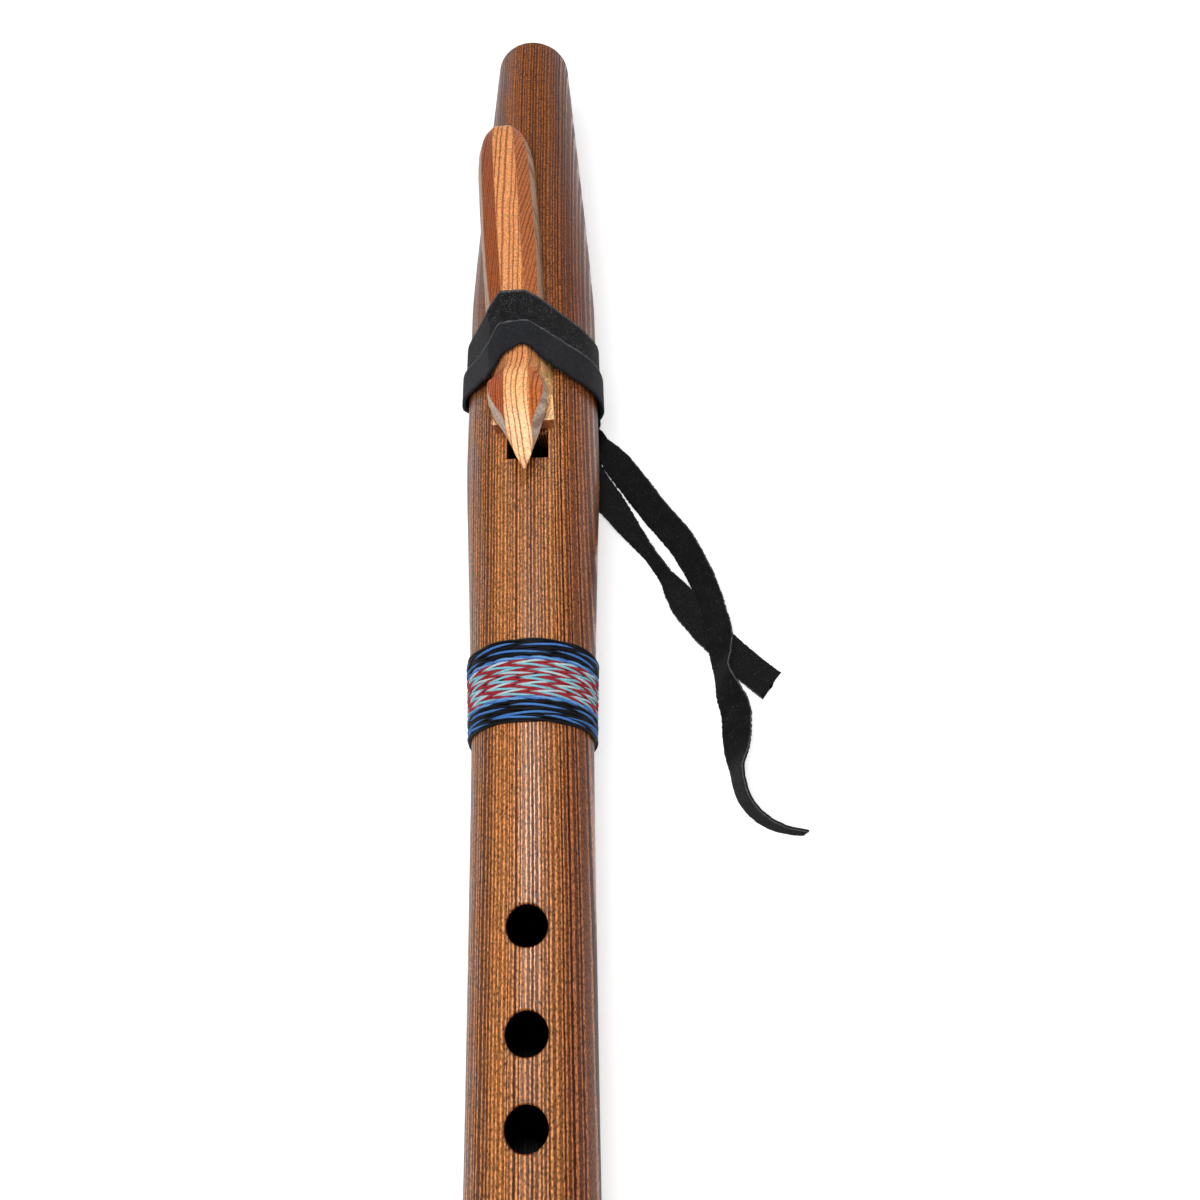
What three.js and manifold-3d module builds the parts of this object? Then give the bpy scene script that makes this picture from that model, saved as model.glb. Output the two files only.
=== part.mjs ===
// A wooden flute of the native American kind, in millimetres, with +Z up.
// The flute lies along Y with its mouth end at +Y. The origin is under the middle of its length, on the plane
// that the leather tie rests on. Places along the flute are measured from its foot end, and heights inside
// the group from the flute's axis.
import * as THREE from "three";
import { mergeVertices } from "three/addons/utils/BufferGeometryUtils.js";
import Module from "manifold-3d";

const wasm = await Module();
wasm.setup();

// Body, turned outside and bored inside
const FLUTE_LENGTH = 510;
const FOOT_RADIUS = 14.3;
const WAIST_PLACE = 224;
const WAIST_RADIUS = 16;
const NEST_SETBACK = 3;
const NEST_LENGTH = 57;
const NEST_RADIUS = 20;
const MOUTH_RADIUS = 12.9;
const FOOT_EASING = 0.8;
const MOUTH_ROUNDING = 1.5;
const BORE_RADIUS = 11;
const SOUND_CHAMBER_LENGTH = 324;
const SEPARATING_WALL = 12;
const MOUTH_WALL = 26;
const MOUTH_HOLE_RADIUS = 5;
// How far the outside has risen from the waist to the nest, and fallen from the nest to the mouth
const SWELL_SHARES = [[0.476, 0.45], [0.728, 0.74], [0.932, 0.97]];
const FALL_SHARES = [[0.143, 0.1], [0.294, 0.24], [0.683, 0.66]];

// Nest, air channel and holes
const NEST_HEIGHT = 18.3;
const SOUND_HOLE_LENGTH = 8.8;
const SOUND_HOLE_WIDTH = 12;
const SOUND_EDGE_SLOPE = 4.2;
const CHANNEL_WIDTH = 11;
const CHANNEL_DEPTH = 1;
const CHAMBER_HOLE_LENGTH = 8;
const CHAMBER_HOLE_SETBACK = 1;
const LOWEST_HOLE_PLACE = 76;
const HOLE_SPACINGS = [22, 21, 24, 19, 23.4];
const HOLE_RADII = [4.2, 4.6, 4.6, 4.8, 4.9, 4.9];

// Block, tied on slightly askew
const BLOCK_SETBACK = 0.8;
const BLOCK_LENGTH = 122.4;
const BEAK_REACH = 18.3;
const BLOCK_HALF_WIDTH = 9.7;
const BLOCK_HEIGHT = 13;
const BLOCK_OFFSET = -1.15;
const BLOCK_ANGLE = THREE.MathUtils.degToRad(3.3);
const BASE_THICKNESS = 4.2;
const BASE_OVERLAP = 9;
// Each row is a section: its place along the block, the half widths of its foot, lip, shoulder and crest, and
// the heights of the same four lines
const BLOCK_SECTION_SHARES = [
  [0, 0.02, 0.03, 0.035, 0.035, 0.485, 0.5, 0.56, 0.58],
  [0.011, 0.04, 0.075, 0.1, 0.11, 0.46, 0.485, 0.6, 0.63],
  [0.025, 0.07, 0.15, 0.21, 0.22, 0.43, 0.47, 0.64, 0.68],
  [0.054, 0.14, 0.3, 0.33, 0.322, 0.39, 0.46, 0.74, 0.78],
  [0.077, 0.21, 0.43, 0.376, 0.354, 0.37, 0.46, 0.81, 0.85],
  [0.095, 0.27, 0.53, 0.405, 0.361, 0.355, 0.46, 0.85, 0.895],
  [0.117, 0.34, 0.655, 0.5, 0.362, 0.345, 0.46, 0.85, 0.945],
  [0.138, 0.4, 0.765, 0.618, 0.364, 0.335, 0.465, 0.79, 0.975],
  [0.164, 0.46, 0.85, 0.745, 0.367, 0.325, 0.475, 0.735, 1],
  [0.168, 0.91, 0.865, 0.765, 0.367, 0, 0.48, 0.73, 1],
  [0.187, 0.91, 0.884, 0.825, 0.366, 0, 0.49, 0.68, 0.99],
  [0.205, 0.915, 0.88, 0.832, 0.362, 0, 0.5, 0.645, 0.97],
  [0.219, 0.925, 0.84, 0.785, 0.357, 0, 0.49, 0.655, 0.945],
  [0.229, 0.93, 0.8, 0.7, 0.35, 0, 0.42, 0.63, 0.905],
  [0.24, 0.935, 0.865, 0.69, 0.335, 0, 0.3, 0.565, 0.865],
  [0.281, 0.94, 0.87, 0.69, 0.32, 0, 0.28, 0.545, 0.8],
  [0.358, 0.95, 0.87, 0.7, 0.345, 0, 0.26, 0.54, 0.79],
  [0.43, 0.955, 0.88, 0.745, 0.355, 0, 0.25, 0.56, 0.8],
  [0.501, 0.965, 0.9, 0.8, 0.36, 0, 0.25, 0.58, 0.815],
  [0.621, 0.98, 0.93, 0.83, 0.37, 0, 0.25, 0.59, 0.825],
  [0.784, 1, 0.955, 0.82, 0.38, 0, 0.25, 0.59, 0.82],
  [0.877, 1, 0.95, 0.8, 0.375, 0, 0.25, 0.585, 0.8],
  [0.934, 0.955, 0.9, 0.74, 0.36, 0, 0.25, 0.57, 0.775],
  [0.96, 0.9, 0.84, 0.68, 0.35, 0, 0.25, 0.555, 0.75],
  [0.981, 0.8, 0.74, 0.58, 0.32, 0.01, 0.25, 0.53, 0.71],
  [0.993, 0.66, 0.6, 0.46, 0.26, 0.04, 0.25, 0.49, 0.65],
  [1, 0.45, 0.4, 0.3, 0.16, 0.09, 0.25, 0.44, 0.57],
];
// The head is carved a little to the left of its foot. Each row gives a place along the block and how far the
// foot, lip, shoulder and crest stand to the right there, as shares of the half width
const BLOCK_SHIFT_SHARES = [
  [0, 0, 0, 0.005, 0.005],
  [0.025, 0, 0, 0.005, 0.012],
  [0.054, 0, 0.003, -0.018, -0.02],
  [0.077, 0, 0.012, -0.062, -0.068],
  [0.095, 0, -0.002, -0.05, -0.085],
  [0.117, -0.01, -0.025, -0.05, -0.095],
  [0.138, -0.02, -0.047, -0.068, -0.083],
  [0.164, -0.03, -0.065, -0.08, -0.062],
  [0.168, 0.045, -0.068, -0.082, -0.06],
  [0.187, 0.045, -0.083, -0.096, -0.055],
  [0.205, 0.045, -0.085, -0.105, -0.045],
  [0.219, 0.045, -0.09, -0.12, -0.038],
  [0.229, 0.045, -0.04, -0.075, -0.028],
  [0.24, 0.045, 0.02, -0.02, -0.005],
  [0.281, 0.045, 0.03, 0, 0.012],
  [0.358, 0.02, 0.015, 0, 0.005],
  [0.43, 0, 0, 0, 0],
];

// Thread winding
const THREAD_PITCH = 1;
const THREAD_RADIUS = 0.28;
const WINDING_PLACE = 235.3;
const WINDING_COUNTS = { thread_stripe_lower: 7, thread_stripe_middle: 10, thread_stripe_upper: 6 };
const STEPS_PER_TURN = 24;
const THREAD_SIDES = 6;

// Leather tie: one lace, passed twice round the block's neck and the body
const LACE_WIDTH = 9.5;
const LACE_THICKNESS = 1.2;
const BROAD_LACE_WIDTH = 14;
const LAYER_GAP = 0.45;
const FLATTENING = 0.5;
const TIE_CLEARANCE = 0.4;
const TIE_SPREAD = 20;
const KNOT_SETBACK = 26.2;
const KNOT_ANGLE = -46;
// Each row is an angle round the flute in degrees from +X, the share of the tie's spread that the lace's
// middle lies behind the knot's middle, the lace's layer, and how much of its broad width it has
const FIRST_TURN_SHARES = [
  [KNOT_ANGLE, 0.05, 0, 0], [-28, 0.04, 0, 0.1], [-5, 0, 1, 0.3], [28, -0.04, 1, 0.55], [80, -0.05, 1, 0.55],
  [92, 0.045, 1, -0.22], [103, -0.07, 1, 0.55], [111, -0.28, 1, 0.65], [122, -0.2, 1, 0.15],
  [148, -0.03, 1, 0.24], [180, 0.1, 1, 0.2], [235, 0.7, 1, 0], [250, 0.78, 0, 0],
  [KNOT_ANGLE + 360, 0.825, 0, 0],
];
const SECOND_TURN_SHARES = [
  [KNOT_ANGLE, 0.825, 0, 0], [0, 0.6, 0, 0.5], [28, 0.465, 0, 0.85], [60, 0.51, 0, 1], [92, 0.55, 0, 1],
  [101, 0.54, 0, 1], [112, 0.36, 0, 0.9], [148, 0.525, 0, 0.75], [180, 0.66, 0, 0.5], [215, 0.3, 0, 0.2],
  [235, 0.17, 0, 0], [KNOT_ANGLE + 360, 0.05, 0, 0],
];
const KNOT_THICKNESS = 6.4;
const KNOT_WIDTH = 9.4;
const KNOT_LENGTH = 14;

// Loose ends of the lace, lying on the plane that the flute rests on, on its tie and on its foot: x, y from
// the knot's middle, and height above that plane
const LONG_END = [
  [20.7, -5.5, 3.8], [24.4, -12, 3.6], [29.1, -19.9, 3.7], [36.6, -32.9, 3.8], [43.5, -43.5, 3.8],
  [48, -54.1, 4.6], [50.6, -62.6, 4.9], [52.2, -70.3, 5.2], [53.2, -77.2, 5.4], [53, -83.2, 5.7],
  [52.9, -89.8, 6.2], [54.2, -95.7, 5.4], [55.8, -101, 4.6], [55.7, -107.4, 4.8], [55, -114, 6],
  [54.6, -120, 7], [55, -124.6, 7], [56.4, -128.8, 6.7], [59.2, -132.4, 6.1], [62.9, -134.9, 5.3],
  [67.2, -136.3, 4.4], [71.6, -137, 3.9],
];
const SHORT_END = [
  [15, -6.4, 1], [15.5, -11.8, 1.1], [16.8, -16.2, 1.2], [18.9, -20.6, 1.3], [22.7, -27.4, 1.5],
  [26.4, -34, 1.8], [30.8, -42, 2.7], [35, -49.2, 3.2], [38.4, -55.4, 3.4], [41.6, -61, 2.8],
  [44.3, -66.1, 2.4], [47.3, -70.7, 2.3], [50.8, -75.7, 2.4], [54, -79.4, 2.5], [57, -82.8, 2.5],
  [60.2, -86.4, 2.6], [63.7, -90, 2.7], [66.9, -93.2, 2.8],
];

// Shared clearance, and the overrun of every cut
const CLEARANCE = 0.3;
const OVERRUN = 2;

const HALF_LENGTH = FLUTE_LENGTH / 2;
const AXIS_HEIGHT = NEST_RADIUS + TIE_CLEARANCE + LACE_THICKNESS - FLATTENING;

const cedar = new THREE.MeshStandardMaterial({ color: 0x8f5432, roughness: 0.5, metalness: 0 });
const orangeCedar = new THREE.MeshStandardMaterial({ color: 0xc97a45, roughness: 0.5, metalness: 0 });
const blackLeather = new THREE.MeshStandardMaterial({ color: 0x17181a, roughness: 0.8, metalness: 0 });
const blueThread = new THREE.MeshStandardMaterial({ color: 0x26456f, roughness: 0.7, metalness: 0 });
const redThread = new THREE.MeshStandardMaterial({ color: 0xa04a55, roughness: 0.7, metalness: 0 });

/** Value at a place in rows of [place, value, ...], straight between the rows. */
function along(rows, place, column = 1) {
  const after = Math.max(1, rows.findIndex((row) => row[0] >= place));
  const high = rows[rows.at(-1)[0] < place ? rows.length - 1 : after];
  const low = rows[rows.indexOf(high) - 1];
  return THREE.MathUtils.mapLinear(place, low[0], high[0], low[column], high[column]);
}

/** Y of a place measured from the foot end. */
function fromFoot(place) {
  return place - HALF_LENGTH;
}

/** The outside of the body as rows of [place, radius]. */
function bodyRows() {
  const nestStart = SOUND_CHAMBER_LENGTH + NEST_SETBACK;
  const nestEnd = nestStart + NEST_LENGTH;
  const rows = [[0, FOOT_RADIUS], [WAIST_PLACE, WAIST_RADIUS]];
  for (const [run, rise] of SWELL_SHARES) {
    rows.push([
      THREE.MathUtils.lerp(WAIST_PLACE, nestStart, run),
      THREE.MathUtils.lerp(WAIST_RADIUS, NEST_RADIUS, rise),
    ]);
  }
  rows.push([nestStart, NEST_RADIUS], [nestEnd, NEST_RADIUS]);
  for (const [run, fall] of FALL_SHARES) {
    rows.push([
      THREE.MathUtils.lerp(nestEnd, FLUTE_LENGTH, run),
      THREE.MathUtils.lerp(NEST_RADIUS, MOUTH_RADIUS, fall),
    ]);
  }
  rows.push([FLUTE_LENGTH, MOUTH_RADIUS]);
  return rows;
}

const BODY_ROWS = bodyRows();

/** Turns a closed geometry into a solid that can be joined and cut. */
function solid(geometry) {
  const bare = geometry.clone();
  bare.deleteAttribute("normal");
  bare.deleteAttribute("uv");
  const merged = mergeVertices(bare, 1e-5 * BORE_RADIUS);
  const corners = merged.index.array;
  const faces = [];
  for (let i = 0; i < corners.length; i += 3) {
    const [a, b, c] = corners.slice(i, i + 3);
    if (a !== b && b !== c && c !== a) {
      faces.push(a, b, c);
    }
  }
  const mesh = new wasm.Mesh({
    numProp: 3,
    vertProperties: new Float32Array(merged.attributes.position.array),
    triVerts: new Uint32Array(faces),
  });
  return new wasm.Manifold(mesh);
}

/** Turns a solid back into a geometry. */
function geometryOf(shape) {
  const mesh = shape.getMesh();
  const geometry = new THREE.BufferGeometry();
  geometry.setAttribute("position", new THREE.BufferAttribute(new Float32Array(mesh.vertProperties), 3));
  geometry.setIndex(new THREE.BufferAttribute(new Uint32Array(mesh.triVerts), 1));
  geometry.computeVertexNormals();
  return geometry;
}

/** A closed skin over rings of points, all with the same count, with a flat fan over each end. */
function loft(rings) {
  const count = rings[0].length;
  const faces = [];
  for (let row = 0; row + 1 < rings.length; row += 1) {
    for (let i = 0; i < count; i += 1) {
      const next = (i + 1) % count;
      const [a, b] = [row * count + i, row * count + next];
      const [c, d] = [a + count, b + count];
      faces.push(a, b, c, b, d, c);
    }
  }
  const last = (rings.length - 1) * count;
  for (let i = 1; i + 1 < count; i += 1) {
    faces.push(0, i + 1, i, last, last + i, last + i + 1);
  }
  const points = rings.flat();
  let volume = 0;
  for (let i = 0; i < faces.length; i += 3) {
    const [a, b, c] = faces.slice(i, i + 3).map((corner) => points[corner]);
    volume += a.dot(b.clone().cross(c));
  }
  const geometry = new THREE.BufferGeometry().setFromPoints(points);
  geometry.setIndex(volume > 0 ? faces : faces.reverse());
  geometry.computeVertexNormals();
  return geometry;
}

/** A box that covers a span of X, Y and Z. */
function span(x0, x1, y0, y1, z0, z1) {
  const box = new THREE.BoxGeometry(x1 - x0, y1 - y0, z1 - z0);
  return solid(box.translate((x0 + x1) / 2, (y0 + y1) / 2, (z0 + z1) / 2));
}

/** A round bore along the flute between two places. */
function bore(radius, start, end) {
  const cylinder = new THREE.CylinderGeometry(radius, radius, end - start, 32);
  return solid(cylinder.translate(0, fromFoot((start + end) / 2), 0));
}

/** The whole body before it is split, with its bores and holes. */
function wholeBody() {
  const mouthShoulder = HALF_LENGTH - MOUTH_ROUNDING;
  const profile = [[0, -HALF_LENGTH], [FOOT_RADIUS - FOOT_EASING, -HALF_LENGTH]];
  profile.push([along(BODY_ROWS, FOOT_EASING), FOOT_EASING - HALF_LENGTH]);
  for (const [place, radius] of BODY_ROWS.slice(1, -1)) {
    profile.push([radius, fromFoot(place)]);
  }
  const shoulderRadius = along(BODY_ROWS, FLUTE_LENGTH - MOUTH_ROUNDING);
  for (let step = 0; step <= 4; step += 1) {
    const turn = (step / 4) * (Math.PI / 2);
    profile.push([
      shoulderRadius - MOUTH_ROUNDING * (1 - Math.cos(turn)),
      mouthShoulder + MOUTH_ROUNDING * Math.sin(turn),
    ]);
  }
  profile.push([0, HALF_LENGTH]);
  const points = profile.map(([radius, y]) => new THREE.Vector2(radius, y));
  const body = solid(new THREE.LatheGeometry(points, 48));

  const wallEnd = SOUND_CHAMBER_LENGTH + SEPARATING_WALL;
  const chamberEnd = FLUTE_LENGTH - MOUTH_WALL;
  const cuts = [
    bore(BORE_RADIUS, -OVERRUN, SOUND_CHAMBER_LENGTH),
    bore(BORE_RADIUS, wallEnd, chamberEnd),
    bore(MOUTH_HOLE_RADIUS, chamberEnd - OVERRUN, FLUTE_LENGTH + OVERRUN),
    span(-NEST_RADIUS, NEST_RADIUS, -HALF_LENGTH, HALF_LENGTH, NEST_HEIGHT, NEST_RADIUS + OVERRUN),
    soundHole(),
    chamberHole(wallEnd + CHAMBER_HOLE_SETBACK),
    airChannel(wallEnd + CHAMBER_HOLE_SETBACK),
    ...fingerHoles(),
  ];
  return cuts.reduce((shape, cut) => shape.subtract(cut), body);
}

/** Height inside the bore where every upward cut starts. */
function cutFloor(halfWidth) {
  return Math.sqrt(BORE_RADIUS ** 2 - halfWidth ** 2) - OVERRUN;
}

/** The sound hole, whose foot-side wall slopes back under a sharp edge. */
function soundHole() {
  const back = fromFoot(SOUND_CHAMBER_LENGTH);
  const edge = back - SOUND_HOLE_LENGTH;
  const floor = cutFloor(SOUND_HOLE_WIDTH / 2);
  const slope = SOUND_EDGE_SLOPE / (NEST_HEIGHT - BORE_RADIUS);
  const outline = new THREE.Shape();
  outline.moveTo(back, floor);
  outline.lineTo(back, NEST_HEIGHT + OVERRUN);
  outline.lineTo(edge, NEST_HEIGHT + OVERRUN);
  outline.lineTo(edge, NEST_HEIGHT);
  outline.lineTo(edge - slope * (NEST_HEIGHT - floor), floor);
  const cut = new THREE.ExtrudeGeometry(outline, { depth: SOUND_HOLE_WIDTH, bevelEnabled: false });
  cut.rotateX(Math.PI / 2).rotateZ(Math.PI / 2);
  return solid(cut.translate(-SOUND_HOLE_WIDTH / 2, 0, 0));
}

/** The hole that lets the air up from the air chamber into the channel. */
function chamberHole(start) {
  const half = CHANNEL_WIDTH / 2;
  const top = NEST_HEIGHT + OVERRUN;
  return span(-half, half, fromFoot(start), fromFoot(start + CHAMBER_HOLE_LENGTH), cutFloor(half), top);
}

/** The shallow channel in the nest, from the chamber hole to the sound hole. */
function airChannel(end) {
  const half = CHANNEL_WIDTH / 2;
  const floor = NEST_HEIGHT - CHANNEL_DEPTH;
  const start = SOUND_CHAMBER_LENGTH - SOUND_HOLE_LENGTH / 2;
  return span(-half, half, fromFoot(start), fromFoot(end + OVERRUN), floor, NEST_HEIGHT + OVERRUN);
}

/** The finger holes, from the foot end up. */
function fingerHoles() {
  let place = LOWEST_HOLE_PLACE;
  return HOLE_RADII.map((radius, index) => {
    const drill = new THREE.CylinderGeometry(radius, radius, NEST_RADIUS, 32).rotateX(Math.PI / 2);
    const cut = solid(drill.translate(0, fromFoot(place), cutFloor(radius) + NEST_RADIUS / 2));
    place += HOLE_SPACINGS[index] ?? 0;
    return cut;
  });
}

/** One half of the body: the upper or the lower. */
function bodyHalf(body, upper) {
  const reach = NEST_RADIUS + OVERRUN;
  const [low, high] = upper ? [0, reach] : [-reach, 0];
  const side = span(-reach, reach, -reach - HALF_LENGTH, HALF_LENGTH + reach, low, high);
  return geometryOf(body.intersect(side));
}

/** Places of the front of the block's base and of the knot's middle, measured from the foot. */
const BLOCK_PLACE = SOUND_CHAMBER_LENGTH + BLOCK_SETBACK;
const KNOT_PLACE = BLOCK_PLACE + KNOT_SETBACK;

/** The block's section at a distance behind its base's front: x of each side's lines, and their heights. */
function blockSection(distance) {
  const reach = BLOCK_LENGTH + BEAK_REACH;
  const share = (distance + BEAK_REACH) / reach;
  const row = (table) => table[0].map((_, column) => along(table, share, column)).slice(1);
  const shares = row(BLOCK_SECTION_SHARES);
  const shifts = row(BLOCK_SHIFT_SHARES);
  return {
    right: shifts.map((shift, line) => (shift + shares[line]) * BLOCK_HALF_WIDTH),
    left: shifts.map((shift, line) => (shift - shares[line]) * BLOCK_HALF_WIDTH),
    heights: shares.slice(4).map((part) => NEST_HEIGHT + part * BLOCK_HEIGHT),
  };
}

/** The block, with its base's front at the origin of its own frame. */
function block() {
  const reach = BLOCK_LENGTH + BEAK_REACH;
  const rings = BLOCK_SECTION_SHARES.map(([share]) => {
    const y = share * reach - BEAK_REACH;
    const { right, left, heights } = blockSection(y);
    const side = (line) => line.map((x, index) => new THREE.Vector3(x, y, heights[index]));
    return [...side(right), ...side(left).reverse()];
  });
  const { left, right } = blockSection(BASE_OVERLAP);
  const base = span(left[0], right[0], 0, BASE_OVERLAP, NEST_HEIGHT, NEST_HEIGHT + BASE_THICKNESS);
  return geometryOf(solid(loft(rings)).add(base));
}

/** X of the block's middle line at a place along the flute. */
function blockMiddle(place) {
  return BLOCK_OFFSET - Math.tan(BLOCK_ANGLE) * (place - BLOCK_PLACE);
}

/** The winding's thread between two counts of steps from its start, as rings of points. */
function threadRings(first, last) {
  const centres = [];
  for (let step = first; step <= last; step += 1) {
    const angle = (step / STEPS_PER_TURN) * 2 * Math.PI - Math.PI / 2;
    const place = WINDING_PLACE + (step / STEPS_PER_TURN) * THREAD_PITCH;
    const outside = along(BODY_ROWS, place) + CLEARANCE + THREAD_RADIUS;
    const radius = outside / Math.cos(Math.PI / STEPS_PER_TURN);
    const point = new THREE.Vector3(radius * Math.cos(angle), fromFoot(place), radius * Math.sin(angle));
    centres.push({ point, angle });
  }
  const stretch = (from, towards) => {
    const step = from.point.clone().sub(towards.point).setLength(2 * THREAD_RADIUS);
    return { point: from.point.clone().add(step), angle: from.angle };
  };
  centres.unshift(stretch(centres[0], centres[1]));
  centres.push(stretch(centres.at(-1), centres.at(-2)));
  return centres.map(({ point, angle }) => {
    const outward = new THREE.Vector3(Math.cos(angle), 0, Math.sin(angle));
    return Array.from({ length: THREAD_SIDES }, (_, side) => {
      const turn = (side / THREAD_SIDES) * 2 * Math.PI;
      const corner = point.clone().addScaledVector(outward, THREAD_RADIUS * Math.cos(turn));
      corner.y += THREAD_RADIUS * Math.sin(turn);
      return corner;
    });
  });
}

/** Direction, in radians, of the outward side of a belt that runs straight from one circle to the next. */
function beltAngle(from, to) {
  const [dx, dz] = [to.x - from.x, to.z - from.z];
  return Math.atan2(dz, dx) - Math.acos((from.radius - to.radius) / Math.hypot(dx, dz));
}

/** Brings an angle to at most half a turn from another. */
function near(angle, other) {
  return angle - 2 * Math.PI * Math.round((angle - other) / (2 * Math.PI));
}

/** The lace's line round the body and the block's neck at a place, from one angle on the body to another. */
function laceLine(place, start, end) {
  const { right, left, heights } = blockSection(place - BLOCK_PLACE);
  const middle = blockMiddle(place);
  const offset = TIE_CLEARANCE + LACE_THICKNESS / 2;
  const corner = (side, line) => ({ x: middle + side[line], z: heights[line], radius: offset });
  const body = { x: 0, z: 0, radius: NEST_RADIUS + offset };
  const circles = [body, corner(right, 2), corner(right, 3), corner(left, 3), corner(left, 2), body];
  const points = [];
  let angle = start;
  circles.forEach((circle, index) => {
    const next = circles[index + 1];
    const leave = next ? Math.max(angle, near(beltAngle(circle, next), angle)) : end;
    const steps = { 0: 12, 5: 22 }[index] ?? 2;
    for (let step = 0; step <= steps; step += 1) {
      const turn = THREE.MathUtils.lerp(angle, leave, step / steps);
      const out = new THREE.Vector2(Math.cos(turn), Math.sin(turn));
      points.push({ x: circle.x + circle.radius * out.x, z: circle.z + circle.radius * out.y, out });
    }
    const bridge = { 0: 5, 4: 5 }[index] ?? 1;
    for (let step = 1; next && step < bridge; step += 1) {
      const out = new THREE.Vector2(Math.cos(leave), Math.sin(leave));
      const share = step / bridge;
      const x = THREE.MathUtils.lerp(circle.x + circle.radius * out.x, next.x + next.radius * out.x, share);
      const z = THREE.MathUtils.lerp(circle.z + circle.radius * out.y, next.z + next.radius * out.y, share);
      points.push({ x, z, out });
    }
    angle = leave;
  });
  return points;
}

/** One turn of the tie as rings of four corners. */
function tieTurn(rows, start, end) {
  const middles = laceLine(KNOT_PLACE, start, end);
  let before = THREE.MathUtils.radToDeg(start);
  return middles.map(({ x, z }, index) => {
    const polar = THREE.MathUtils.radToDeg(Math.atan2(z, x));
    before = polar + 360 * Math.round((before - polar) / 360);
    const place = KNOT_PLACE + along(rows, before) * TIE_SPREAD;
    const lift = along(rows, before, 2) * (LACE_THICKNESS + LAYER_GAP);
    const width = THREE.MathUtils.lerp(LACE_WIDTH, BROAD_LACE_WIDTH, along(rows, before, 3));
    const edge = (side, face) => {
      const edgePlace = place + (side * width) / 2;
      const point = laceLine(edgePlace, start, end)[index];
      const rise = point.out.clone().multiplyScalar(lift + (face * LACE_THICKNESS) / 2);
      return new THREE.Vector3(point.x + rise.x, fromFoot(edgePlace), point.z + rise.y);
    };
    return [edge(-1, -1), edge(-1, 1), edge(1, 1), edge(1, -1)];
  });
}

/** The tie's two turns, as rings, from the knot and back to it. */
function tieRings() {
  const knot = THREE.MathUtils.degToRad(KNOT_ANGLE);
  const gap = (KNOT_WIDTH / 2 + CLEARANCE) / NEST_RADIUS;
  const first = tieTurn(FIRST_TURN_SHARES, knot + gap, knot + 2 * Math.PI);
  const second = tieTurn(SECOND_TURN_SHARES, knot, knot + 2 * Math.PI - gap);
  return [first, second.slice(1)];
}

/** The tie, pressed flat where the flute rests on it. */
function tie(turns) {
  const band = solid(loft(turns.flat()));
  const reach = 2 * NEST_RADIUS;
  const middle = fromFoot(KNOT_PLACE);
  const ground = span(-reach, reach, middle - reach, middle + reach, -reach, -AXIS_HEIGHT);
  return geometryOf(band.subtract(ground));
}

/** The knot, a rounded lump between the body and the ground. */
function knot() {
  const lump = new THREE.SphereGeometry(1, 20, 12);
  lump.scale(KNOT_THICKNESS / 2, KNOT_LENGTH / 2, KNOT_WIDTH / 2);
  const angle = THREE.MathUtils.degToRad(KNOT_ANGLE);
  const radius = NEST_RADIUS + CLEARANCE + KNOT_THICKNESS / 2;
  lump.rotateY(-angle);
  return lump.translate(radius * Math.cos(angle), fromFoot(KNOT_PLACE), radius * Math.sin(angle));
}

/** A loose end of the lace: a flat section along its route. */
function looseEnd(route, steps) {
  const [thin, wide] = [LACE_THICKNESS / 2, LACE_WIDTH / 2];
  const section = new THREE.Shape();
  section.moveTo(thin, wide - thin);
  section.lineTo(thin / 2, wide);
  section.lineTo(-thin / 2, wide);
  section.lineTo(-thin, wide - thin);
  section.lineTo(-thin, thin - wide);
  section.lineTo(-thin / 2, -wide);
  section.lineTo(thin / 2, -wide);
  section.lineTo(thin, thin - wide);
  const knotY = fromFoot(KNOT_PLACE);
  const points = route.map(([x, y, height]) => new THREE.Vector3(x, knotY + y, height - AXIS_HEIGHT));
  const path = new THREE.CatmullRomCurve3(points);
  const geometry = new THREE.ExtrudeGeometry(section, { steps, extrudePath: path });
  return { geometry, length: path.getLength() };
}

/** Least distance between two sets of rings' points that lie at least some rows apart. */
function leastGap(rings, others, apart) {
  let least = Infinity;
  rings.forEach((ring, row) => {
    others.forEach((other, otherRow) => {
      if (rings !== others || otherRow - row >= apart) {
        for (const point of ring) {
          least = other.reduce((best, corner) => Math.min(best, point.distanceTo(corner)), least);
        }
      }
    });
  });
  return least;
}

const flute = new THREE.Group();
flute.position.z = AXIS_HEIGHT;

/** Adds a named piece to the flute. */
function add(name, geometry, material) {
  const piece = new THREE.Mesh(geometry, material);
  piece.name = name;
  flute.add(piece);
  return piece;
}

const body = wholeBody();
add("body_upper_half", bodyHalf(body, true), cedar);
add("body_lower_half", bodyHalf(body, false), cedar);

const bird = add("bird_block", block(), orangeCedar);
bird.position.set(BLOCK_OFFSET, fromFoot(BLOCK_PLACE), 0);
bird.rotation.z = BLOCK_ANGLE;

const turns = tieRings();
add("tie_lace", tie(turns), blackLeather);
const tieGap = leastGap(turns[0].slice(0, -2), turns[1].slice(2), 0);
console.log("tie_lace least gap to itself, mm:", tieGap.toFixed(2));
add("tie_knot", knot(), blackLeather);

const longEnd = looseEnd(LONG_END, 48);
add("lace_end_long", longEnd.geometry, blackLeather);
const shortEnd = looseEnd(SHORT_END, 32);
add("lace_end_short", shortEnd.geometry, blackLeather);
console.log("loose ends, mm:", longEnd.length.toFixed(1), shortEnd.length.toFixed(1));

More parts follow.
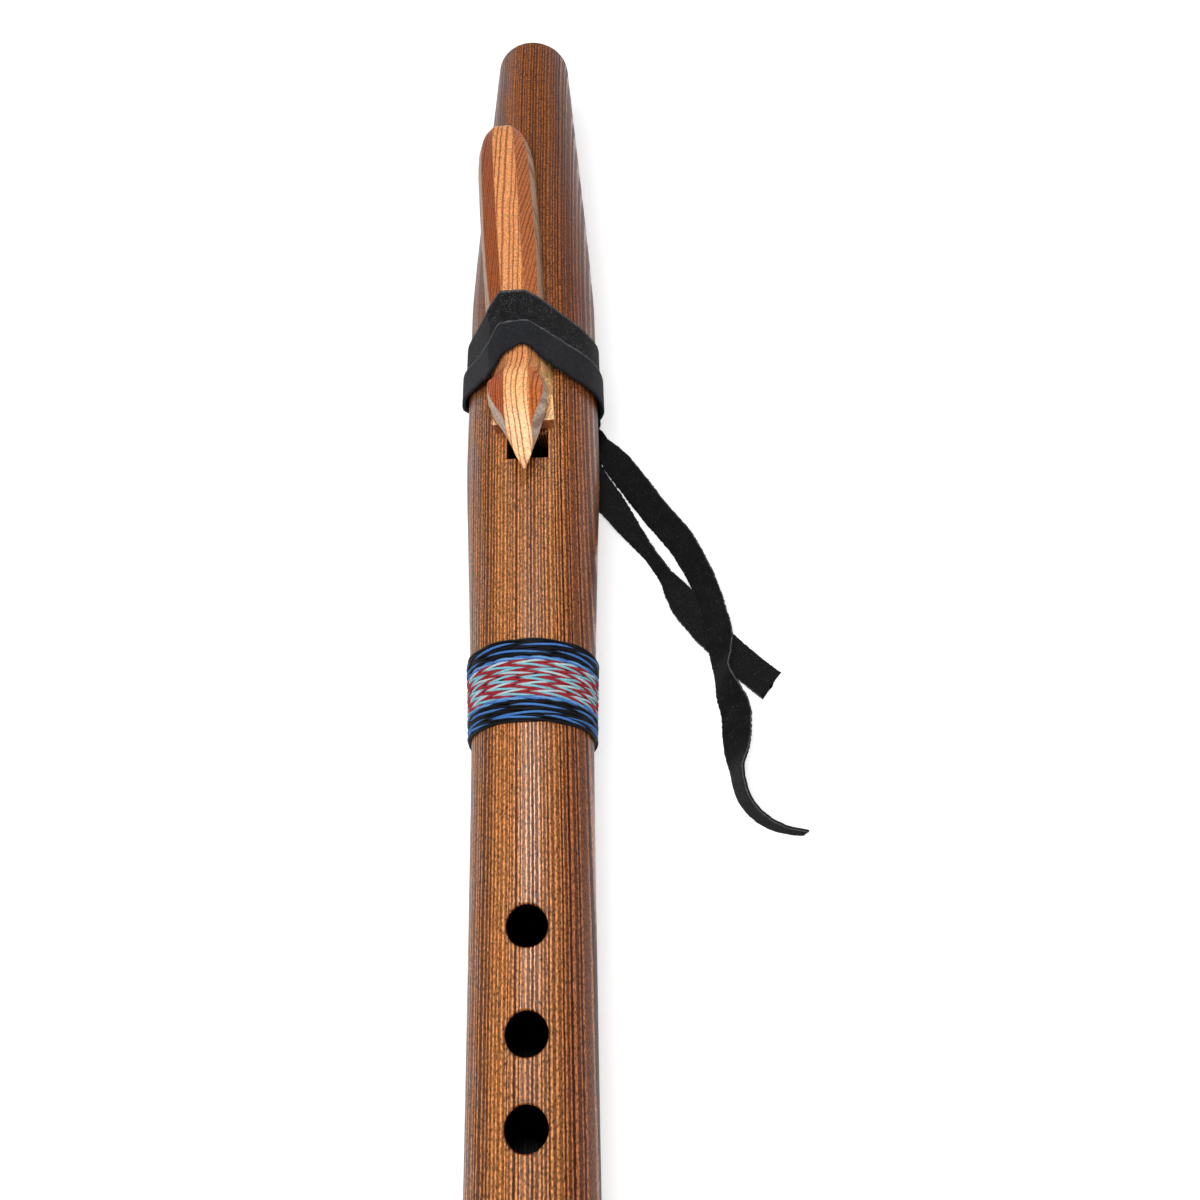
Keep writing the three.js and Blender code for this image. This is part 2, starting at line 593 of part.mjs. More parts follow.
let step = 0;
for (const [name, count] of Object.entries(WINDING_COUNTS)) {
  const last = step + count * STEPS_PER_TURN;
  const rings = threadRings(step + 1, last);
  add(name, loft(rings), name === "thread_stripe_middle" ? redThread : blueThread);
  console.log(name, "least gap to itself, mm:", leastGap(rings, rings, STEPS_PER_TURN / 2).toFixed(2));
  step = last;
}

export default flute;
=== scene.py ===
"""A wooden flute of the native American kind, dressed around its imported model.

The flute lies along Y with its mouth end at +Y, and its origin is under the middle of its length. Shapes are
worked out in millimetres, with places measured from the foot end and heights from the bore's axis, and every
mesh is made in metres in the model's frame.
"""

import logging
import math
from dataclasses import dataclass
from enum import Enum
from typing import Iterable, Sequence

import bmesh
import bpy
import numpy as np
from mathutils import Matrix, Vector, noise
from mathutils.kdtree import KDTree


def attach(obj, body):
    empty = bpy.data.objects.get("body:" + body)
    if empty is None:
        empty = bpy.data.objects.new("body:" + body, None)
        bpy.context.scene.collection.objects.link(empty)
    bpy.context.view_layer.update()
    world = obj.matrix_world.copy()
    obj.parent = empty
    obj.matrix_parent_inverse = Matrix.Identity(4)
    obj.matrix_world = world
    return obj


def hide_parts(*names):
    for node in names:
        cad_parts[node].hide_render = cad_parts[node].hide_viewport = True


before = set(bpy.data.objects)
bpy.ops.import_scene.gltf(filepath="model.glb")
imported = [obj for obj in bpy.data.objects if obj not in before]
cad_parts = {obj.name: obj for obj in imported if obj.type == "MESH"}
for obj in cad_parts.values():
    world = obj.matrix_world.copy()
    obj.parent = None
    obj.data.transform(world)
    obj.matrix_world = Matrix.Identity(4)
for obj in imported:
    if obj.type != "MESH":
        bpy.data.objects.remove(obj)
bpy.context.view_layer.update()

LOG = logging.getLogger("flute")
MM = 0.001
TO_MM = 1000.0
FULL_TURN = 2 * math.pi
FLUTE_BODY = "flute"
BLOCK_BODY = "block"
WHITE = (1, 1, 1, 1)

Colour = tuple[float, float, float]
Place = tuple[float, float, float]
Socket = bpy.types.NodeSocket
Node = bpy.types.Node
Tree = bpy.types.NodeTree
Material = bpy.types.Material
Piece = bpy.types.Object
Feed = float | Sequence[float] | Socket

FLOAT, VECTOR, INTEGER = "NodeSocketFloat", "NodeSocketVector", "NodeSocketInt"
GEOMETRY, MATERIAL = "NodeSocketGeometry", "NodeSocketMaterial"


class SmoothTable:
    """Rows of [place, value, ...] joined by smooth curves that stay between the rows."""

    def __init__(self, rows: Sequence[Sequence[float]]) -> None:
        """Works out the slopes at the rows.

        Args:
            rows: The rows, with their places rising.
        """
        table = np.array(rows, float)
        self.places = table[:, 0]
        self.values = table[:, 1:]
        runs = np.diff(self.places)[:, None]
        rises = np.diff(self.values, axis=0) / runs
        before, after = rises[:-1], rises[1:]
        same_way = before * after > 0
        total = np.where(same_way, before + after, 1)
        self.slopes = np.zeros_like(self.values)
        self.slopes[1:-1] = np.where(same_way, 2 * before * after / total, 0)
        self.slopes[0], self.slopes[-1] = rises[0], rises[-1]

    def at(self, place: float) -> np.ndarray:
        """Values at a place.

        Args:
            place: Where to read the table. Past its ends it keeps their values.

        Returns:
            One value for each column after the first.
        """
        last = len(self.places) - 2
        row = int(np.clip(np.searchsorted(self.places, place) - 1, 0, last))
        run = self.places[row + 1] - self.places[row]
        t = min(max((place - self.places[row]) / run, 0), 1)
        low, high = self.values[row], self.values[row + 1]
        rise = (2 * t**3 - 3 * t**2 + 1) * low + (3 * t**2 - 2 * t**3) * high
        lean = (t**3 - 2 * t**2 + t) * self.slopes[row] + (t**3 - t**2) * self.slopes[row + 1]
        return rise + lean * run

    def first(self, place: float) -> float:
        """The first value at a place."""
        return float(self.at(place)[0])


def lerp(low: float | np.ndarray, high: float | np.ndarray, share: float) -> float | np.ndarray:
    """Value a share of the way from low to high."""
    return low + (high - low) * share


def soft_min(first: float, second: float, softness: float) -> float:
    """The lesser of two values, rounded off where they cross."""
    lesser = min(first, second)
    return lesser - softness * math.log(1 + math.exp(-abs(first - second) / softness))


def spaced(start: float, end: float, step: float) -> list[float]:
    """Places from start to end, evenly spaced by at most a step."""
    return list(np.linspace(start, end, max(2, math.ceil((end - start) / step) + 1)))


class NodeBench:
    """Adds and joins the nodes of one tree."""

    def __init__(self, tree: Tree) -> None:
        """Keeps the tree to work on."""
        self.tree = tree

    def add(self, kind: str, feeds: dict[str | int, Feed] | None = None, **settings: object) -> Node:
        """Adds a node.

        Args:
            kind: The node's type name.
            feeds: What goes into its inputs, by name or number: a value or another node's output.
            settings: The node's own settings.

        Returns:
            The new node.
        """
        node = self.tree.nodes.new(kind)
        for name, setting in settings.items():
            setattr(node, name, setting)
        for name, value in (feeds or {}).items():
            self.feed(node.inputs[name], value)
        return node

    def feed(self, socket: Socket, value: Feed) -> None:
        """Puts a value on an input, or joins an output to it.

        Args:
            socket: The input.
            value: A value or another node's output.
        """
        if isinstance(value, Socket):
            self.tree.links.new(value, socket)
        else:
            socket.default_value = value

    def math(self, operation: str, first: Feed, second: Feed = 0.0, third: Feed = 0.0) -> Socket:
        """Output of a Math node."""
        return self.add("ShaderNodeMath", {0: first, 1: second, 2: third}, operation=operation).outputs[0]

    def vector(self, operation: str, first: Feed, second: Feed = (0, 0, 0)) -> Socket:
        """Vector output of a Vector Math node."""
        return self.add("ShaderNodeVectorMath", {0: first, 1: second}, operation=operation).outputs[0]

    def ramp(self, value: Feed, low: float, high: float, start: Feed = 0.0, end: Feed = 1.0) -> Socket:
        """A value mapped smoothly from the range low to high to the range start to end."""
        feeds = {"Value": value, "From Min": low, "From Max": high, "To Min": start, "To Max": end}
        return self.add("ShaderNodeMapRange", feeds, interpolation_type="SMOOTHSTEP").outputs[0]

    def mix(self, share: Feed, first: Feed, second: Feed, blend: str = "MIX") -> Socket:
        """Two colours mixed by a share from 0 to 1."""
        feeds = {0: share, 6: opaque(first), 7: opaque(second)}
        return self.add("ShaderNodeMix", feeds, data_type="RGBA", blend_type=blend).outputs[2]

    def brighten(self, colour: Feed, value: Feed) -> Socket:
        """A colour made brighter or darker by a factor."""
        return self.add("ShaderNodeHueSaturation", {"Value": value, "Color": opaque(colour)}).outputs[0]

    def noise(self, place: Feed, stretch: Feed, detail: float = 2.0) -> Socket:
        """Noise from 0 to 1 on a place that is first multiplied by a stretch."""
        feeds = {"Vector": self.vector("MULTIPLY", place, stretch), "Scale": 1.0, "Detail": detail}
        return self.add("ShaderNodeTexNoise", feeds).outputs[0]

    def parts(self, value: Feed) -> tuple[Socket, ...]:
        """The three parts of a vector."""
        return tuple(self.add("ShaderNodeSeparateXYZ", {0: value}).outputs)

    def place(self) -> Socket:
        """The shaded point's place in the model, in millimetres."""
        return self.vector("MULTIPLY", self.add("ShaderNodeTexCoord").outputs["Object"], (TO_MM,) * 3)

    def mark(self, name: str, output: str = "Fac") -> Socket:
        """What the piece's points carry under a name."""
        return self.add("ShaderNodeAttribute", attribute_name=name).outputs[output]

    def group(self, name: str, feeds: dict[str, Feed]) -> dict[str, Socket]:
        """Outputs, by name, of a shared group that is placed in this tree."""
        node = self.add("ShaderNodeGroup", feeds, node_tree=bpy.data.node_groups[name])
        return {socket.name: socket for socket in node.outputs}

    def bump(self, height: Socket, strength: float, depth: float) -> Socket:
        """The normal of a surface roughened by a height, with its depth in millimetres."""
        feeds = {"Height": height, "Strength": strength, "Distance": depth * MM}
        return self.add("ShaderNodeBump", feeds).outputs[0]

    def shade(self, feeds: dict[str, Feed]) -> None:
        """Ends a material's tree with a Principled shader."""
        shader = self.add("ShaderNodeBsdfPrincipled", feeds)
        self.add("ShaderNodeOutputMaterial", {"Surface": shader.outputs[0]})


def opaque(value: Feed) -> Feed:
    """A typed colour with its alpha added. An output is passed on as it is."""
    return value if isinstance(value, Socket) else (*value, 1.0)


def clean_bench(owner: Material | bpy.types.World) -> NodeBench:
    """Clears the nodes of a material or a world.

    Args:
        owner: The material or the world.

    Returns:
        A bench on its nodes.
    """
    owner.use_nodes = True
    owner.node_tree.nodes.clear()
    return NodeBench(owner.node_tree)


def new_material(name: str) -> tuple[Material, NodeBench]:
    """A new material and a bench on its nodes."""
    material = bpy.data.materials.new(name)
    return material, clean_bench(material)


def node_group(
    name: str, kind: str, inputs: dict[str, str], outputs: dict[str, str]
) -> tuple[NodeBench, dict[str, Socket], Node]:
    """Makes an empty node group.

    Args:
        name: The group's name.
        kind: The tree's type name.
        inputs: Socket kind of each input.
        outputs: Socket kind of each output.

    Returns:
        A bench on the group's tree, the group's inputs by name, and its output node.
    """
    tree = bpy.data.node_groups.new(name, kind)
    for way, sockets in (("INPUT", inputs), ("OUTPUT", outputs)):
        for label, socket_kind in sockets.items():
            tree.interface.new_socket(label, in_out=way, socket_type=socket_kind)
    entry = tree.nodes.new("NodeGroupInput")
    given = {socket.name: socket for socket in entry.outputs if socket.name}
    return NodeBench(tree), given, tree.nodes.new("NodeGroupOutput")


def growth_lines_group() -> None:
    """Makes the growth lines and fibres of straight-grained cedar, for every wooden piece.

    The group goes from a place in millimetres to a mask of the dark lines, a slow change of tone over the
    board, a mask of the fine fibres and a height.
    """
    labels = ("Spacing", "Lean", "Stretch", "Slant", "Drift", "Wave", "Line Start")
    bench, given, result = node_group(
        "growth_lines", "ShaderNodeTree", {"Place": VECTOR, **dict.fromkeys(labels, FLOAT)},
        dict.fromkeys(("Line", "Tone", "Fibre", "Height"), FLOAT),
    )
    place = given["Place"]
    x, y, z = bench.parts(place)
    slanted = bench.math("MULTIPLY_ADD", y, given["Slant"], x)
    across = bench.math("MULTIPLY_ADD", z, given["Lean"], bench.math("MULTIPLY", slanted, given["Stretch"]))
    # The lines wander slowly along the board and shake a little.
    bend = bench.add("ShaderNodeCombineXYZ", {0: 0.03, 1: given["Wave"], 2: 0.03}).outputs[0]
    slow = bench.math("SUBTRACT", bench.noise(place, bend), 0.5)
    across = bench.math("MULTIPLY_ADD", slow, bench.math("MULTIPLY", given["Drift"], 3.0), across)
    shake = bench.math("SUBTRACT", bench.noise(place, (1.5, 0.45, 1.5)), 0.5)
    across = bench.math("MULTIPLY_ADD", shake, 0.3, across)
    # The years differ in width.
    count = bench.math("DIVIDE", across, given["Spacing"])
    feeds = {"W": count, "Scale": 0.45, "Detail": 1.0}
    uneven = bench.add("ShaderNodeTexNoise", feeds, noise_dimensions="1D")
    count = bench.math("MULTIPLY_ADD", uneven.outputs[0], 1.6, count)
    part = bench.math("FRACT", count)
    number = bench.math("FLOOR", count)
    depth = bench.add("ShaderNodeTexWhiteNoise", {"W": number}, noise_dimensions="1D").outputs[0]
    # Each line comes on softly, ends sharply and has its own depth.
    rise = bench.ramp(bench.math("SUBTRACT", part, given["Line Start"]), 0.0, 0.2)
    fall = bench.ramp(part, 0.9, 1.0, 1.0, 0.0)
    line = bench.math("MULTIPLY", rise, fall)
    line = bench.math("MULTIPLY", line, bench.math("MULTIPLY_ADD", depth, 0.35, 0.65))
    fibre = bench.noise(place, (2.2, 1.3, 2.2))
    ridges = bench.noise(place, (2.6, 0.3, 2.6))
    tone = bench.noise(place, (0.06, 0.005, 0.06), 1.0)
    height = bench.math("MULTIPLY_ADD", line, -0.3, bench.math("MULTIPLY_ADD", fibre, 0.3, ridges))
    for label, socket in (("Line", line), ("Tone", tone), ("Fibre", fibre), ("Height", height)):
        bench.feed(result.inputs[label], socket)


def nap_group() -> None:
    """Makes the nap of suede and of spun thread, for every leather and thread piece.

    The group goes from a place in millimetres and a fineness to a mask of light fibres, a mask of worn
    patches and a height.
    """
    bench, given, result = node_group(
        "nap", "ShaderNodeTree", {"Place": VECTOR, "Fineness": FLOAT},
        dict.fromkeys(("Fibres", "Patches", "Height"), FLOAT),
    )
    feeds = {0: given["Place"], "Scale": given["Fineness"]}
    place = bench.add("ShaderNodeVectorMath", feeds, operation="SCALE").outputs[0]
    fine = bench.noise(place, (2.6, 2.0, 2.6), 4.0)
    patches = bench.noise(place, (0.35, 0.35, 0.35))
    bench.feed(result.inputs["Fibres"], bench.ramp(fine, 0.5, 0.7))
    bench.feed(result.inputs["Patches"], patches)
    bench.feed(result.inputs["Height"], bench.math("MULTIPLY_ADD", patches, 0.6, fine))


@dataclass(frozen=True)
class WoodFinish:
    """A satin-oiled wood with growth lines.

    Colours are in linear light. The painted shade colours multiply the wood's colour where a turned piece's
    surface leans to the left, to the right and down: painted shade on the sides that the light reaches less.
    A faceted piece brings on its points its own tint, which is its tone with painted light and shade, and
    its grain. The far tint is for the smoother, darker wood toward the mouth end.
    """

    name: str
    light: Colour
    dark: Colour
    spacing: float
    lean: float
    drift: float
    wave: float
    line_start: float
    speckle: float
    roughness: float
    bump: float
    faceted: bool = False
    left_painted_shade: Colour = (1, 1, 1)
    right_painted_shade: Colour = (1, 1, 1)
    side_painted_shade: Colour = (1, 1, 1)
    far_tint: Colour = (1, 1, 1)
    far_reach: tuple[float, float] = (70, 130)
    glue_colour: Colour = (0.03, 0.012, 0.006)
    burn_and_bore_shade_colour: Colour = (0.0006, 0.0005, 0.0005)
    gloss: float = 0.2

    def material(self, seam_height: float | None = None) -> Material:
        """Builds the wood's material.

        Args:
            seam_height: Height of a glue line to show, in millimetres, or None.

        Returns:
            The material.
        """
        material, bench = new_material(self.name)
        place = bench.place()
        _, y, z = bench.parts(place)
        far = bench.ramp(y, *self.far_reach)
        if self.faceted:
            tint_with_painted_light = bench.mark("facet", "Vector")
            stretch, slant, strength = bench.parts(bench.mark("grain", "Vector"))
        else:
            tint_with_painted_light = self.turned_painted_shade(bench)
            stretch, slant, strength = 1.0, 0.0, bench.math("MULTIPLY_ADD", far, -0.12, 1.0)
        grain = bench.group("growth_lines", {
            "Place": place, "Spacing": self.spacing, "Lean": self.lean, "Stretch": stretch, "Slant": slant,
            "Drift": self.drift, "Wave": self.wave, "Line Start": self.line_start,
        })
        colour = bench.mix(bench.math("MULTIPLY", grain["Line"], strength), self.light, self.dark)
        # Multiplies in the tint: a turned piece's painted shade, or a facet's own tone with painted light
        # and shade.
        colour = bench.mix(1.0, colour, tint_with_painted_light, "MULTIPLY")
        colour = bench.mix(far, colour, bench.mix(1.0, colour, self.far_tint, "MULTIPLY"))
        value = bench.math("MULTIPLY_ADD", grain["Fibre"], self.speckle, 1 - self.speckle / 2)
        value = bench.math("MULTIPLY", value, bench.math("MULTIPLY_ADD", grain["Tone"], 0.5, 0.75))
        colour = bench.brighten(colour, bench.math("MAXIMUM", value, 0.05))
        if seam_height is not None:
            off = bench.math("ABSOLUTE", bench.math("SUBTRACT", z, seam_height))
            colour = bench.mix(bench.ramp(off, 0.05, 0.16, 0.75, 0.0), colour, self.glue_colour)
        # Burnt finger-hole walls, and painted shade that blackens the bore.
        scorch = bench.mark("scorch")
        rough = bench.math("MULTIPLY_ADD", grain["Line"], 0.25, self.roughness)
        bench.shade({
            "Base Color": bench.mix(scorch, colour, self.burn_and_bore_shade_colour),
            "Roughness": bench.math("MULTIPLY_ADD", scorch, 0.4, rough),
            "Normal": bench.bump(grain["Height"], 1.0, self.bump), "Specular IOR Level": self.gloss,
        })
        return material

    def turned_painted_shade(self, bench: NodeBench) -> Socket:
        """The painted shade of a turned piece, by the way that its surface faces.

        Args:
            bench: A bench on the nodes.

        Returns:
            The painted shade.
        """
        facing_x, _, facing_z = bench.parts(bench.add("ShaderNodeTexCoord").outputs["Normal"])
        # Painted shade: the colour darkens where the surface slants away from the top, leans left or right,
        # and faces sideways or down.
        slanted = bench.ramp(facing_z, 0.97, 0.72)
        right = bench.ramp(facing_x, -0.15, 0.15)
        tint_with_painted_light = bench.mix(slanted, (1, 1, 1), bench.mix(right, self.left_painted_shade, self.right_painted_shade))
        return bench.mix(bench.ramp(facing_z, 0.35, 0.1), tint_with_painted_light, self.side_painted_shade)


@dataclass(frozen=True)
class SuedeFinish:
    """Black suede lace, smoother and paler on one side, and palest along its cut rims."""

    name: str
    colour: Colour
    smooth_colour: Colour
    fibre_colour: Colour
    rim_colour: Colour
    roughness: float = 0.8
    gloss: float = 0.15

    def material(self) -> Material:
        """Builds the suede's material.

        Returns:
            The material.
        """
        material, bench = new_material(self.name)
        nap = bench.group("nap", {"Place": bench.place(), "Fineness": 1.0})
        share = bench.math("MULTIPLY", nap["Fibres"], bench.ramp(nap["Patches"], 0.3, 0.65))
        share = bench.math("MULTIPLY", share, bench.math("MULTIPLY_ADD", bench.mark("worn"), 0.7, 0.3))
        colour = bench.mix(bench.mark("smooth"), self.colour, self.smooth_colour)
        colour = bench.mix(share, colour, self.fibre_colour)
        rim = bench.math("MULTIPLY", bench.mark("rim"), bench.math("MULTIPLY_ADD", nap["Fibres"], 0.6, 0.4))
        bench.shade({
            "Base Color": bench.mix(rim, colour, self.rim_colour),
            "Roughness": bench.math("MULTIPLY_ADD", nap["Patches"], 0.15, self.roughness - 0.08),
            "Normal": bench.bump(nap["Height"], 0.8, 0.25), "Specular IOR Level": self.gloss,
            "Sheen Weight": 0.015, "Sheen Roughness": 0.5,
        })
        return material


@dataclass(frozen=True)
class ThreadFinish:
    """One colour of spun thread."""

    name: str
    colour: Colour
    fineness: float = 2.2
    roughness: float = 0.5
    gloss: float = 0.15

    def material(self) -> Material:
        """Builds the thread's material.

        Returns:
            The material.
        """
        material, bench = new_material(self.name)
        nap = bench.group("nap", {"Place": bench.place(), "Fineness": self.fineness})
        bench.shade({
            "Base Color": bench.brighten(self.colour, bench.math("MULTIPLY_ADD", nap["Fibres"], 0.55, 0.72)),
            "Roughness": bench.math("MULTIPLY_ADD", nap["Patches"], 0.2, self.roughness),
            "Normal": bench.bump(nap["Height"], 0.4, 0.05), "Specular IOR Level": self.gloss,
        })
        return material


class Cedar(Enum):
    """The flute's two woods."""

    BODY = WoodFinish(
        name="red_cedar", light=(0.72, 0.28, 0.088), dark=(0.060, 0.010, 0.002), spacing=0.95, lean=0.12,
        drift=0.5, wave=0.007, line_start=0.22, speckle=3.4, roughness=0.25, bump=0.08,
        # The three painted shade colours darken the body's sides and underside.
        left_painted_shade=(0.70, 0.66, 0.62), right_painted_shade=(0.62, 0.50, 0.50), side_painted_shade=(0.54, 0.48, 0.52),
        far_tint=(0.60, 0.49, 0.45),
    )
    BLOCK = WoodFinish(
        name="orange_cedar", light=(0.90, 0.37, 0.135), dark=(0.30, 0.055, 0.014), spacing=1.65, lean=0.5,
        drift=0.8, wave=0.03, line_start=0.58, speckle=2.0, roughness=0.36, bump=0.05, faceted=True,
    )


class Suede(Enum):
    """The lace's leather."""

    LACE = SuedeFinish(
        "black_suede", colour=(0.0030, 0.0031, 0.0040), smooth_colour=(0.0115, 0.0122, 0.0160),
        fibre_colour=(0.085, 0.087, 0.095), rim_colour=(0.22, 0.22, 0.23),
    )


class Thread(Enum):
    """The colours of the winding."""

    BLACK = ThreadFinish("black_thread", (0.007, 0.007, 0.010))
    BLUE = ThreadFinish("blue_thread", (0.085, 0.26, 0.70))
    PALE_BLUE = ThreadFinish("pale_blue_thread", (0.20, 0.46, 0.88))
    AQUA = ThreadFinish("aqua_thread", (0.32, 0.72, 0.84))
    WHITE = ThreadFinish("white_thread", (0.66, 0.82, 0.88))
    RED = ThreadFinish("red_thread", (0.47, 0.030, 0.045))


class Finishes:
    """Every material of the flute, built once and shared."""

    def __init__(self) -> None:
        """Builds the shared groups, so that the finishes can use them."""
        growth_lines_group()
        nap_group()
        self.made: dict[str, Material] = {}

    def get(self, finish: Enum, **options: float) -> Material:
        """The material of a finish.

        Args:
            finish: The finish.
            options: What the finish's material takes.

        Returns:
            The material, which is built on the first call.
        """
        name = finish.value.name
        if name not in self.made:
            self.made[name] = finish.value.material(**options)
        return self.made[name]


def new_object(name: str, data: bpy.types.ID) -> Piece:
    """Makes an object and puts it in the scene.

    Args:
        name: Its name.
        data: Its mesh, light or camera.

    Returns:
        The object.
    """
    piece = bpy.data.objects.new(name, data)
    bpy.context.scene.collection.objects.link(piece)
    return piece


def placed(points: Sequence[Sequence[float]]) -> np.ndarray:
    """Points with heights from the bore's axis, in millimetres, moved to the model's frame in metres."""
    return (np.asarray(points, float) + (0, 0, FluteBody.axis_height)) * MM


def new_piece(name: str, points: Sequence[Sequence[float]], faces: Iterable[Sequence[int]]) -> Piece:
    """Makes a closed mesh with its faces pointing out.

    Args:
        name: The piece's name.
        points: Its points, in millimetres, with heights from the bore's axis.
        faces: Corners of each face.

    Returns:
        The linked object, at the origin.
    """
    mesh = bpy.data.meshes.new(name)
    mesh.from_pydata(placed(points).tolist(), [], [tuple(face) for face in faces])
    work = bmesh.new()
    work.from_mesh(mesh)
    bmesh.ops.recalc_face_normals(work, faces=work.faces)
    if work.calc_volume(signed=True) < 0:
        bmesh.ops.reverse_faces(work, faces=work.faces)
    work.to_mesh(mesh)
    work.free()
    return new_object(name, mesh)


def side_faces(rows: int, count: int, closed: bool = False) -> list[tuple[int, ...]]:
    """Faces that join rings of points.

    Args:
        rows: How many rings there are.
        count: Points in each ring.
        closed: Whether the last ring joins the first.

    Returns:
        Corners of each face.
    """
    faces = []
    for row in range(rows if closed else rows - 1):
        for i in range(count):
            near, far = row * count, (row + 1) % rows * count
            after = (i + 1) % count
            faces.append((near + i, near + after, far + after, far + i))
    return faces


def loft(name: str, rings: Sequence[np.ndarray]) -> Piece:
    """Makes a closed skin over rings of points, with a flat cap over each end.

    Args:
        name: The piece's name.
        rings: Rings that all have the same count of points.

    Returns:
        The piece.
    """
    count = len(rings[0])
    last = (len(rings) - 1) * count
    caps = [tuple(range(count)), tuple(range(last + count - 1, last - 1, -1))]
    return new_piece(name, np.concatenate(rings), side_faces(len(rings), count) + caps)


def closed_loop(name: str, rings: Sequence[Sequence[Sequence[float]]]) -> Piece:
    """Makes a closed skin over rings of points that run round and meet."""
    return new_piece(name, np.concatenate(rings), side_faces(len(rings), len(rings[0]), closed=True))


def prism(name: str, outline: Sequence[tuple[float, float]], half_width: float) -> Piece:
    """Makes a straight prism from an outline of (y, z) points, as wide along X as given."""
    ring = [[(x, y, z) for y, z in outline] for x in (-half_width, half_width)]
    return loft(name, np.array(ring))


def plain_mesh(piece: Piece) -> None:
    """Turns a piece and its modifiers into a plain mesh.

    Args:
        piece: The piece.
    """
    bpy.context.view_layer.update()
    graph = bpy.context.evaluated_depsgraph_get()
    mesh = bpy.data.meshes.new_from_object(piece.evaluated_get(graph))
    piece.modifiers.clear()
    piece.data = mesh


def run_nodes(piece: Piece, tree: Tree, values: dict[str, object]) -> None:
    """Runs a geometry tree on a piece and leaves a plain mesh.

    Args:
        piece: The piece, whose mesh goes into the tree.
        tree: The tree.
        values: What goes into each of its other inputs.
    """
    modifier = piece.modifiers.new(tree.name, "NODES")
    modifier.node_group = tree
    sockets = {item.name: item.identifier for item in tree.interface.items_tree if item.in_out == "INPUT"}
    for label, value in values.items():
        modifier[sockets[label]] = value
    plain_mesh(piece)


def end_tree(bench: NodeBench, result: Node, geometry: Socket, material: Socket) -> Tree:
    """Ends a geometry tree with real geometry that has its material.

    Args:
        bench: A bench on the tree.
        result: The tree's output node.
        geometry: What the tree has made.
        material: The material to give it.

    Returns:
        The tree.
    """
    real = bench.add("GeometryNodeRealizeInstances", {0: geometry})
    dressed = bench.add("GeometryNodeSetMaterial", {0: real.outputs[0], "Material": material})
    bench.feed(result.inputs[0], dressed.outputs[0])
    return bench.tree


def combine(piece: Piece, others: Sequence[Piece], operation: str = "DIFFERENCE") -> None:
    """Cuts other meshes out of a piece, or adds them to it, and deletes them.

    Args:
        piece: The piece to change.
        others: Closed meshes that don't touch each other.
        operation: DIFFERENCE or UNION.
    """
    work = bmesh.new()
    for other in others:
        work.from_mesh(other.data)
    tool = new_object("tool", bpy.data.meshes.new("tool"))
    work.to_mesh(tool.data)
    work.free()
    modifier = piece.modifiers.new("combine", "BOOLEAN")
    modifier.operation = operation
    modifier.solver = "EXACT"
    modifier.object = tool
    plain_mesh(piece)
    for other in (tool, *others):
        bpy.data.objects.remove(other)


def join(name: str, parts: Sequence[Piece]) -> Piece:
    """Joins plain meshes into one piece that keeps their materials.

    Args:
        name: The piece's name.
        parts: The meshes, which are deleted.

    Returns:
        The joined piece.
    """
    mesh = bpy.data.meshes.new(name)
    materials: list[Material] = []
    work = bmesh.new()
    for part in parts:
        first = len(work.faces)
        work.from_mesh(part.data)
        work.faces.ensure_lookup_table()
        material = part.data.materials[0]
        if material not in materials:
            materials.append(material)
        for face in work.faces[first:]:
            face.material_index = materials.index(material)
    work.to_mesh(mesh)
    work.free()
    for material in materials:
        mesh.materials.append(material)
    for part in parts:
        bpy.data.objects.remove(part)
    return new_object(name, mesh)


def finish_piece(
    piece: Piece, material: Material, slot: str, body: str, nodes: Sequence[str], crease: float = 35
) -> None:
    """Gives a piece its shading, its material and its place in the model.

    Args:
        piece: The finished mesh.
        material: Its material, unless it has materials already.
        slot: The record's material slot. It is not used.
        body: The body that it rides on.
        nodes: The nodes that it stands for.
        crease: Angle in degrees past which an edge stays sharp.
    """
    piece.data.shade_smooth()
    piece.data.set_sharp_from_angle(angle=math.radians(crease))
    if not piece.data.materials:
        piece.data.materials.append(material)
    if nodes:
        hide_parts(*nodes)
    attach(piece, body)
    LOG.info("%s: %d faces, rides on %s", piece.name, len(piece.data.polygons), body)


def finish_lace(piece: Piece, finishes: Finishes, nodes: Sequence[str], crease: float = 50) -> None:
    """Finishes a piece of the lace, which moves with the block."""
    finish_piece(piece, finishes.get(Suede.LACE), "black_leather", BLOCK_BODY, nodes, crease)


def mark_points(piece: Piece, name: str, values: Sequence[float] | np.ndarray) -> None:
    """Stores something on each point of a piece, for its material or its node tree.

    Args:
        piece: The piece.
        name: The name to store it under.
        values: A number or a vector for each point.
    """
    values = np.asarray(values, np.float32)
    kind, field_name = ("FLOAT", "value") if values.ndim == 1 else ("FLOAT_VECTOR", "vector")
    piece.data.attributes.new(name, kind, "POINT").data.foreach_set(field_name, values.ravel())


